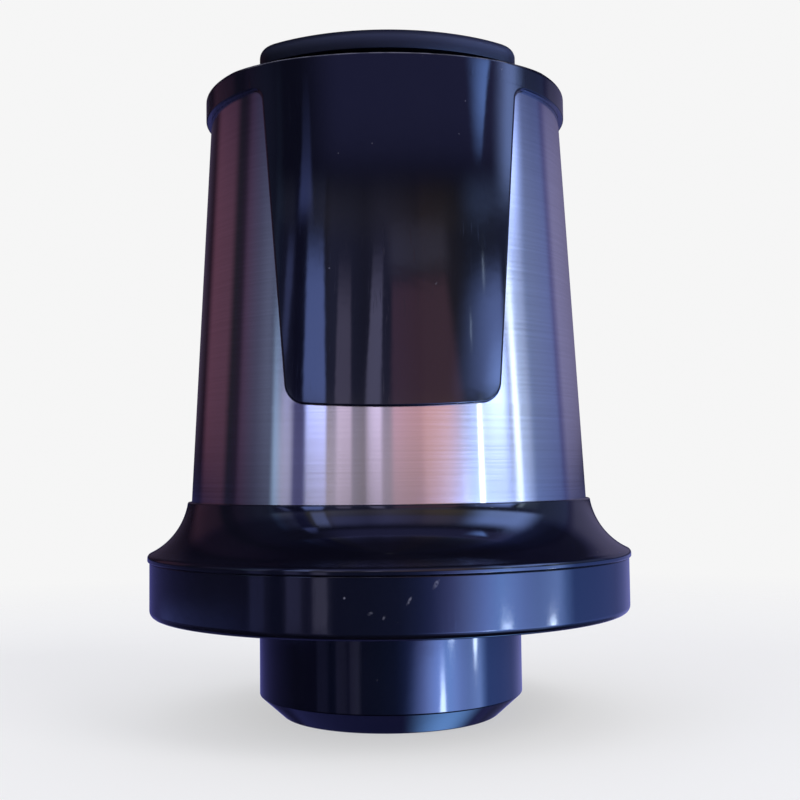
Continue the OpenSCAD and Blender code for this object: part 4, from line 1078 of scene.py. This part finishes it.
def make_dome():
    """Dome that only reflections see, so that the gloss and the steel have a room to show."""
    bm = bmesh.new()
    steps, columns, highest = 48, 120, 89.5
    rises = [-highest + 2 * highest * i / steps for i in range(steps + 1)]
    loft(bm, [[dome_point(360 * k / columns, rise) for k in range(columns)] for rise in rises], closed=False)
    dome = finish_mesh("studio_dome", bm)
    mat, tree, output = emission_tree("studio_dome")
    where = axes(tree, own_place(tree))
    angle = math_node(tree, "ARCTAN2", where["X"], times(tree, where["Y"], -1.0))
    turn = span(tree, angle, -math.pi, math.pi, 0.0, 1.0)
    sine = math_node(tree, "DIVIDE", math_node(tree, "SUBTRACT", where["Z"], DOME_Z), DOME_R)
    rise = span(tree, math_node(tree, "ARCSINE", sine), -math.pi / 2, math.pi / 2, 0.0, 1.0)

    def ramp(value, stops, reach):
        """Ramp over degrees from -reach to reach, with one share or three colours at each stop."""
        spots = [((at + reach) / reach / 2, *(share * (3 // len(share)))) for at, *share in stops]
        return tones(tree, value, spots)

    def light(turn_stops, rise_stops):
        return blend(tree, 1.0, ramp(turn, turn_stops, 180), ramp(rise, rise_stops, 90), "MULTIPLY")

    room = light(BANDS, LEVELS)
    for turn_stops, rise_stops in ((VEIL_TURN, VEIL_RISE), (SIDES_TURN, SIDES_RISE)):
        shade = put(tree, "Invert", {"Color": light(turn_stops, rise_stops)}).outputs["Color"]
        room = blend(tree, 1.0, room, shade, "MULTIPLY")
    both = blend(tree, 1.0, room, light(TABLE, TABLE_RISE), "ADD")
    glow = put(tree, "Emission", {"Color": both, "Strength": 1.0})
    tree.links.new(glow.outputs[0], output.inputs["Surface"])
    dome.data.materials.append(mat)
    only_in_reflections(dome)


def make_card(name, corners, colour, strength, fades, sphere=(DOME_R - 0.02, DOME_Z), hide=0.0):
    """A glow seen only in reflections, laid over the dome or hung nearer to the object.

    Corners are (left, right, height) at its foot and its head, in degrees. Fades are the shares of its
    width and height over which it fades in from the left, the right, the foot and the head. The sphere
    that it lies on has a radius and a height of its centre. The card hides a share of what is behind it.
    """
    columns, steps = 12, 8
    rows = []
    for step in range(steps + 1):
        left, right, rise = (a + (b - a) * step / steps for a, b in zip(*corners))
        turns = [left + (right - left) * i / columns for i in range(columns + 1)]
        rows.append([dome_point(turn, rise, *sphere) for turn in turns])
    bm = bmesh.new()
    verts = fill_grid(bm, rows)
    place = {v: (i / columns, k / steps) for k, row in enumerate(verts) for i, v in enumerate(row)}
    layer = bm.loops.layers.uv.new("card")
    for face in bm.faces:
        for loop in face.loops:
            loop[layer].uv = place[loop.vert]
    card = finish_mesh(name, bm)
    mat, tree, output = emission_tree(name)
    uv = axes(tree, put(tree, "UVMap", uv_map="card").outputs["UV"])
    share = 1.0
    for along, (start, end) in ((uv["X"], fades[:2]), (uv["Y"], fades[2:])):
        for value, fade in ((along, start), (math_node(tree, "SUBTRACT", 1.0, along), end)):
            limits = {0: value, 1: 0.0, 2: fade, 3: 0.0, 4: 1.0}
            edge = put(tree, "MapRange", limits, interpolation_type="SMOOTHSTEP")
            share = times(tree, edge.outputs[0], share)
    glow = put(tree, "Emission", {"Color": (*colour, 1), "Strength": times(tree, share, strength)})
    behind = put(tree, "BsdfTransparent", {"Color": span(tree, share, 0.0, 1.0, 1.0, 1.0 - hide)})
    both = put(tree, "AddShader", {0: behind.outputs[0], 1: glow.outputs[0]})
    tree.links.new(both.outputs[0], output.inputs["Surface"])
    card.data.materials.append(mat)
    only_in_reflections(card)


def make_lamp(name, place, size, power, colour):
    """A soft box that points at the middle of the object and stays out of reflections."""
    lamp = bpy.data.lights.new(name, "AREA")
    lamp.shape = "DISK"
    lamp.size = size
    lamp.energy = power
    lamp.color = colour
    obj = add_object(name, lamp)
    obj.location = place
    obj.rotation_euler = (AIM - Vector(place)).to_track_quat("-Z", "Y").to_euler()
    obj.visible_glossy = False


# What the gloss shows: shade in front of it, a window, the folds of a curtain and small lights near the
# table. The first cards hang in front of the object, the others lie on the dome.
NEAR = (0.165, 0.125)
NEARER = (0.160, 0.125)
CARDS = [
    ("dark_card", [(-71, 71, 4.5), (-76, 76, 33)],
     (0.45, 0.48, 1.0), 0.06, (0.12, 0.12, 0.42, 0.15), NEAR, 1.0),
    ("veil_card", [(-48, 74, 12.2), (-49.5, 77, 33)], (0.42, 0.39, 1.0), 0.5, (0.22, 0.1, 0.4, 0.15), NEARER),
    ("window_card", [(44, 49.4, 15.6), (37.3, 59.8, 27.1)],
     (0.28, 0.46, 1.0), 6.0, (0.85, 0.15, 0.5, 0.35), NEARER),
    ("wedge_card", [(-48.8, -37.1, 8.5), (-44.9, -41.4, 23.1)],
     (0.34, 0.40, 1.0), 1.6, (0.25, 0.25, 0.3, 0.8), NEARER),
    ("sash_card", [(38, 96, 19), (36, 90, 50)], (0.36, 0.50, 1.0), 6.0, (0.35, 0.35, 0.12, 0.6)),
    ("brow_card", [(-46, 78, 27), (-46, 78, 62)], (0.15, 0.22, 1.0), 0.4, (0.15, 0.15, 0.1, 0.45)),
    ("blind_card", [(28, 70, 9), (40, 69.5, 18)], (0.36, 0.47, 1.0), 5.0, (0.8, 0.12, 0.15, 0.4)),
    ("corner_card", [(46, 72, 8.5), (56, 70, 14)], (0.36, 0.52, 1.0), 5.0, (0.6, 0.12, 0.1, 0.8)),
    ("line_card", [(48, 52.5, 0.5), (48.5, 52, 9.5)], (0.85, 0.92, 1.0), 5.0, (0.3, 0.3, 0.1, 0.2)),
    ("side_card", [(74, 79, 2), (70, 76, 17)], (0.80, 0.92, 1.0), 2.0, (0.35, 0.35, 0.1, 0.2)),
    ("side_glow", [(70, 92, 2), (70, 92, 20)], (0.60, 0.82, 1.0), 0.6, (0.2, 0.7, 0.2, 0.4)),
    ("streak_card", [(-65, -60, 10), (-60.5, -54, 20)], (0.40, 0.45, 1.0), 1.3, (0.3, 0.3, 0.3, 0.3)),
    ("fold_card_1", [(-50, -34.5, 8.5), (-48, -37.5, 21)], (0.36, 0.45, 1.0), 4.4, (0.12, 0.12, 0.12, 0.4)),
    ("fold_card_1b", [(-46, -36, 19), (-46, -36, 56)], (0.40, 0.48, 1.0), 2.4, (0.2, 0.2, 0.15, 0.6)),
    ("fold_card_2", [(-32, -21, 7), (-29, -21, 19)], (0.95, 0.73, 1.0), 1.1, (0.15, 0.15, 0.2, 0.4)),
    ("fold_card_3", [(-16, -5.5, 7), (-9, -2.5, 20)], (0.80, 0.68, 1.0), 1.8, (0.15, 0.15, 0.2, 0.4)),
    ("arch_card", [(-2, 46, 7), (0, 34, 17.5)], (1.0, 0.38, 0.50), 0.75, (0.08, 0.15, 0.2, 0.12)),
    ("shelf_card", [(-4, 38, 17), (-4, 36, 21)], (0.85, 0.75, 1.0), 0.5, (0.2, 0.2, 0.3, 0.4)),
    ("tick_card_1", [(54.9, 56.1, 15.8), (54.9, 56.1, 17.8)], (0.80, 0.90, 1.0), 5.0, (0.3, 0.3, 0.3, 0.3)),
    ("tick_card_2", [(45.4, 46.6, 12.6), (45.4, 46.6, 14.6)], (0.80, 0.90, 1.0), 4.0, (0.3, 0.3, 0.3, 0.3)),
    ("rim_fold_1", [(-66, -57, -9.5), (-66, -57, -4)], (0.42, 0.42, 1.0), 0.28, (0.2, 0.2, 0.1, 0.2)),
    ("rim_fold_2", [(-48, -39, -9.5), (-48, -39, -4)], (0.55, 0.50, 1.0), 0.40, (0.2, 0.3, 0.1, 0.2)),
    ("rim_fold_3", [(-36, -28, -9.5), (-36, -28, -4)], (0.90, 0.76, 1.0), 0.60, (0.3, 0.15, 0.1, 0.2)),
    ("floor_card", [(-140, -50, -9.9), (-140, -50, -7)], (0.25, 0.32, 1.0), 0.4, (0.2, 0.4, 0.05, 0.7)),
    ("pool_card", [(0, 46, -18), (14, 46, -9.7)], (0.30, 0.46, 1.0), 4.6, (0.7, 0.15, 0.05, 0.2)),
    ("low_card", [(37, 47, -17), (40.7, 43.3, -11.3)], (0.85, 0.92, 1.0), 22.0, (0.2, 0.2, 0.05, 0.4)),
    ("low_side_card", [(73, 74.5, -11.8), (70.5, 77.5, -9.2)], (0.85, 0.92, 1.0), 26.0, (0.2, 0.2, 0.4, 0.1)),
    ("spot_card_1", [(46.5, 53.5, -9.7), (46.5, 53.5, -9.2)], (0.85, 0.92, 1.0), 70.0, (0.3, 0.3, 0.2, 0.3)),
    ("spot_card_2", [(72.5, 77, -9.3), (72.5, 77, -8.8)], (0.85, 0.92, 1.0), 50.0, (0.3, 0.3, 0.2, 0.3)),
    ("ground_card", [(122, 166, -80), (122, 166, -44)], (0.22, 0.47, 1.0), 4.0, (0.5, 0.5, 0.5, 0.5)),
    ("ground_glow", [(110, 250, -86), (110, 250, -34)], (0.24, 0.26, 1.0), 0.24, (0.1, 0.1, 0.1, 0.2)),
]


# Camera

EYE_DISTANCE = 0.3077
EYE_HEIGHT = 0.0606
EYE_AZIMUTH = math.radians(-1.6)
EYE_YAW = math.radians(0.57)
EYE_PITCH = math.radians(3.37)
EYE_ROLL = math.radians(0.65)
LENS_MM = 54.0


def make_camera():
    """Camera a little below the middle, looking slightly up, turned and tilted as a hand-held one."""
    eye = Vector((math.sin(EYE_AZIMUTH), -math.cos(EYE_AZIMUTH), 0)) * EYE_DISTANCE
    ahead = (-eye).normalized()
    ahead.rotate(Matrix.Rotation(-EYE_YAW, 3, "Z"))
    ahead = ahead * math.cos(EYE_PITCH) + Vector((0, 0, math.sin(EYE_PITCH)))
    right = ahead.cross(Vector((0, 0, 1))).normalized()
    up = right.cross(ahead)
    c, s = math.cos(EYE_ROLL), math.sin(EYE_ROLL)
    right, up = right * c - up * s, up * c + right * s
    eye.z = EYE_HEIGHT
    data = bpy.data.cameras.new("camera")
    data.lens = LENS_MM
    data.sensor_width = 36.0
    data.clip_start = 0.01
    camera = add_object("camera", data)
    camera.matrix_world = Matrix.Translation(eye) @ Matrix((right, up, -ahead)).transposed().to_4x4()
    bpy.context.scene.camera = camera


# The scene

materials = all_materials()
dress_nodes(materials)
attach(make_hub(), "housing", "gloss_black", "hub", materials)
attach(make_rim(), "housing", "gloss_black", "base_ring", materials)
attach(make_skirt(), "housing", "gloss_black", "skirt", materials)
attach(make_sleeve(), "housing", "brushed_body", "steel_wrap", materials)
attach(make_collar(), "housing", "gloss_black", "collar_panel", materials)
attach(make_plate(), "button", "soft_black", "top_button", materials)
spring = make_spring()
attach(spring, "housing", "machined_steel", "button_spring", materials)
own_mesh(spring)

make_world()
make_floor()
make_dome()
for card in CARDS:
    make_card(*card)
make_lamp("key_lamp", (0.7, -0.6, 0.9), 0.7, 4.0, (1.0, 0.98, 0.96))
make_lamp("fill_lamp", (-0.8, -0.5, 0.7), 0.9, 2.5, (0.92, 0.94, 1.0))
make_camera()

bpy.context.scene.view_settings.view_transform = "Standard"
